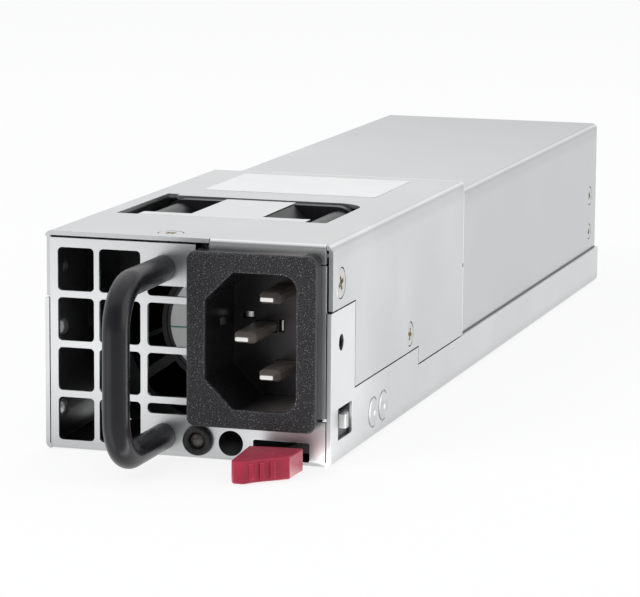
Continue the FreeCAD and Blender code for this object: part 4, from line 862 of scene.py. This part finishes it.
def wall_studs(made):
    """Two pressed studs on the inside of the left wall, seen through the grille."""
    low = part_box("chassis_tray")[0]
    whole = bmesh.new()
    for deep, up in STUD_PLACES:
        place = Matrix.Translation((low.x + 2 * SHEET * MM, low.y + deep * MM, low.z + up * MM))
        stud = turned(STUD_PROFILE, STUD_SIDES)
        move(stud, place @ Matrix.Rotation(math.pi / 2, 4, "Y"))
        merge(whole, stud)
    add_piece("wall_studs", whole, (made["rivet_steel"],), "case")


def fittings(made):
    """Every piece that the scene adds to the CAD nodes."""
    screws("cover_screw_heads", "cover_screws", made)
    screws("rear_screw_heads", "rear_screws", made)
    indicator(made)
    socket_leaves(made)
    blades(made)
    wall_studs(made)


# ------------------------------------------------------------------ studio


def seen_directly(nodes):
    """1 for rays that show the surroundings by eye, in gloss or through glass, 0 for the rest."""
    path = nodes.node("LightPath").outputs
    total = path["Is Camera Ray"]
    for ray in ("Is Glossy Ray", "Is Transmission Ray"):
        total = nodes.maths("MAXIMUM", total, path[ray])
    return total


def glow(nodes, place, direction, spread, brightness):
    """A bright wedge of floor that runs out from the handle in one direction."""
    low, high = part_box("handle")
    start = Vector(((low.x + high.x) / 2, low.y, 0))
    level = nodes.vectors("NORMALIZE", nodes.vectors("SUBTRACT", place, start))
    turn = math.radians(direction)
    middle = (math.cos(turn), math.sin(turn), 0)
    along = nodes.vectors("DOT_PRODUCT", level, middle, result="Value")
    # Full within half of the spread to each side and gone at one and a half times it.
    outer, inner = (math.cos(math.radians(spread * share)) for share in (1.5, 0.5))
    return nodes.between(along, 0, brightness, outer, inner)


def graded(nodes, coordinates, start, end, dim, glows=()):
    """How bright the surroundings show: 1 to the camera, and in gloss dimmer at the front."""
    place = nodes.node("TexCoord").outputs[coordinates]
    total = nodes.between(nodes.part(place, "Y"), dim, 1, start, end)
    for one in glows:
        total = nodes.maths("ADD", total, glow(nodes, place, **one))
    by_camera = nodes.node("LightPath").outputs["Is Camera Ray"]
    return nodes.between(by_camera, total, 1, 0, 1)


def show(nodes, output, share, lit, plain):
    """Ends a node tree with lit where share is 0 and plain where it is 1."""
    mix = nodes.node("MixShader")
    nodes.feed(mix.inputs["Fac"], share)
    nodes.feed(mix.inputs[1], lit.outputs[0])
    nodes.feed(mix.inputs[2], plain.outputs[0])
    nodes.feed(nodes.tree.nodes[output].inputs["Surface"], mix.outputs[0])


def pale_world():
    """A white room: plain to the camera, graded in gloss and an even light on all else."""
    world = bpy.data.worlds.new("studio")
    world.use_nodes = True
    bpy.context.scene.world = world
    nodes = Nodes(world.node_tree)
    plain, lit = world.node_tree.nodes["Background"], nodes.node("Background")
    nodes.feed(plain.inputs["Color"], (1, 1, 1))
    nodes.feed(plain.inputs["Strength"], graded(nodes, "Generated", **ROOM_GRADE))
    nodes.feed(lit.inputs["Color"], ROOM_LIGHT)
    nodes.feed(lit.inputs["Strength"], ROOM_STRENGTH)
    show(nodes, "World Output", seen_directly(nodes), lit, plain)


def floor_material():
    """Matt white that looks plain white and keeps a faint shadow."""
    material = bpy.data.materials.new("floor")
    material.use_nodes = True
    nodes = Nodes(material.node_tree)
    nodes.tree.nodes.remove(nodes.tree.nodes["Principled BSDF"])
    lit, plain = nodes.node("BsdfDiffuse"), nodes.node("Emission")
    brightness = graded(nodes, "Object", **FLOOR_GRADE, glows=HANDLE_GLOWS)
    nodes.feed(lit.inputs["Color"], FLOOR_COLOUR)
    nodes.feed(plain.inputs["Strength"], brightness)
    share = nodes.maths("MULTIPLY", seen_directly(nodes), FLOOR_WHITE)
    show(nodes, "Material Output", share, lit, plain)
    return material


def pale_floor(height):
    """A wide white floor at this height."""
    mesh = bpy.data.meshes.new("floor")
    corners = ((-1, -1), (1, -1), (1, 1), (-1, 1))
    mesh.from_pydata([(x * FLOOR_REACH, y * FLOOR_REACH, height) for x, y in corners], [],
                     [(0, 1, 2, 3)])
    mesh.materials.append(floor_material())
    floor = bpy.data.objects.new("floor", mesh)
    bpy.context.scene.collection.objects.link(floor)


def stand(piece, place, turn):
    """Puts a lamp or the camera in the scene."""
    piece.location = place
    piece.rotation_mode = "QUATERNION"
    piece.rotation_quaternion = turn
    bpy.context.scene.collection.objects.link(piece)


def lamps(aim):
    """Soft rectangular lights, each turned to aim."""
    for name, (place, size, watts, in_gloss) in LAMPS.items():
        data = bpy.data.lights.new(name, "AREA")
        data.shape = "RECTANGLE"
        data.size, data.size_y = size
        data.energy = watts
        lamp = bpy.data.objects.new(name, data)
        lamp.visible_glossy = in_gloss
        stand(lamp, place, (aim - Vector(place)).to_track_quat("-Z", "Y"))


def camera():
    """A long lens in front of the part, a little to its right and above it."""
    data = bpy.data.cameras.new("camera")
    data.sensor_fit = "HORIZONTAL"
    data.sensor_width = SENSOR_WIDTH
    data.lens = CAMERA_LENS
    data.clip_start, data.clip_end = CLIP_NEAR, CLIP_FAR
    made = bpy.data.objects.new("camera", data)
    roll = Matrix.Rotation(CAMERA_ROLL, 3, "Z").to_quaternion()
    stand(made, CAMERA_PLACE, CAMERA_TOWARD.to_track_quat("-Z", "Y") @ roll)
    bpy.context.scene.camera = made


def studio():
    """The room, the floor, the lamps and the camera round the part."""
    low, high = CAD_BOX
    pale_world()
    pale_floor(low.z - FLOOR_GAP)
    lamps((low + high) / 2)
    camera()
    bpy.context.scene.view_settings.view_transform = "Standard"


studio()
made = finishes()
dress_nodes(made)
fittings(made)
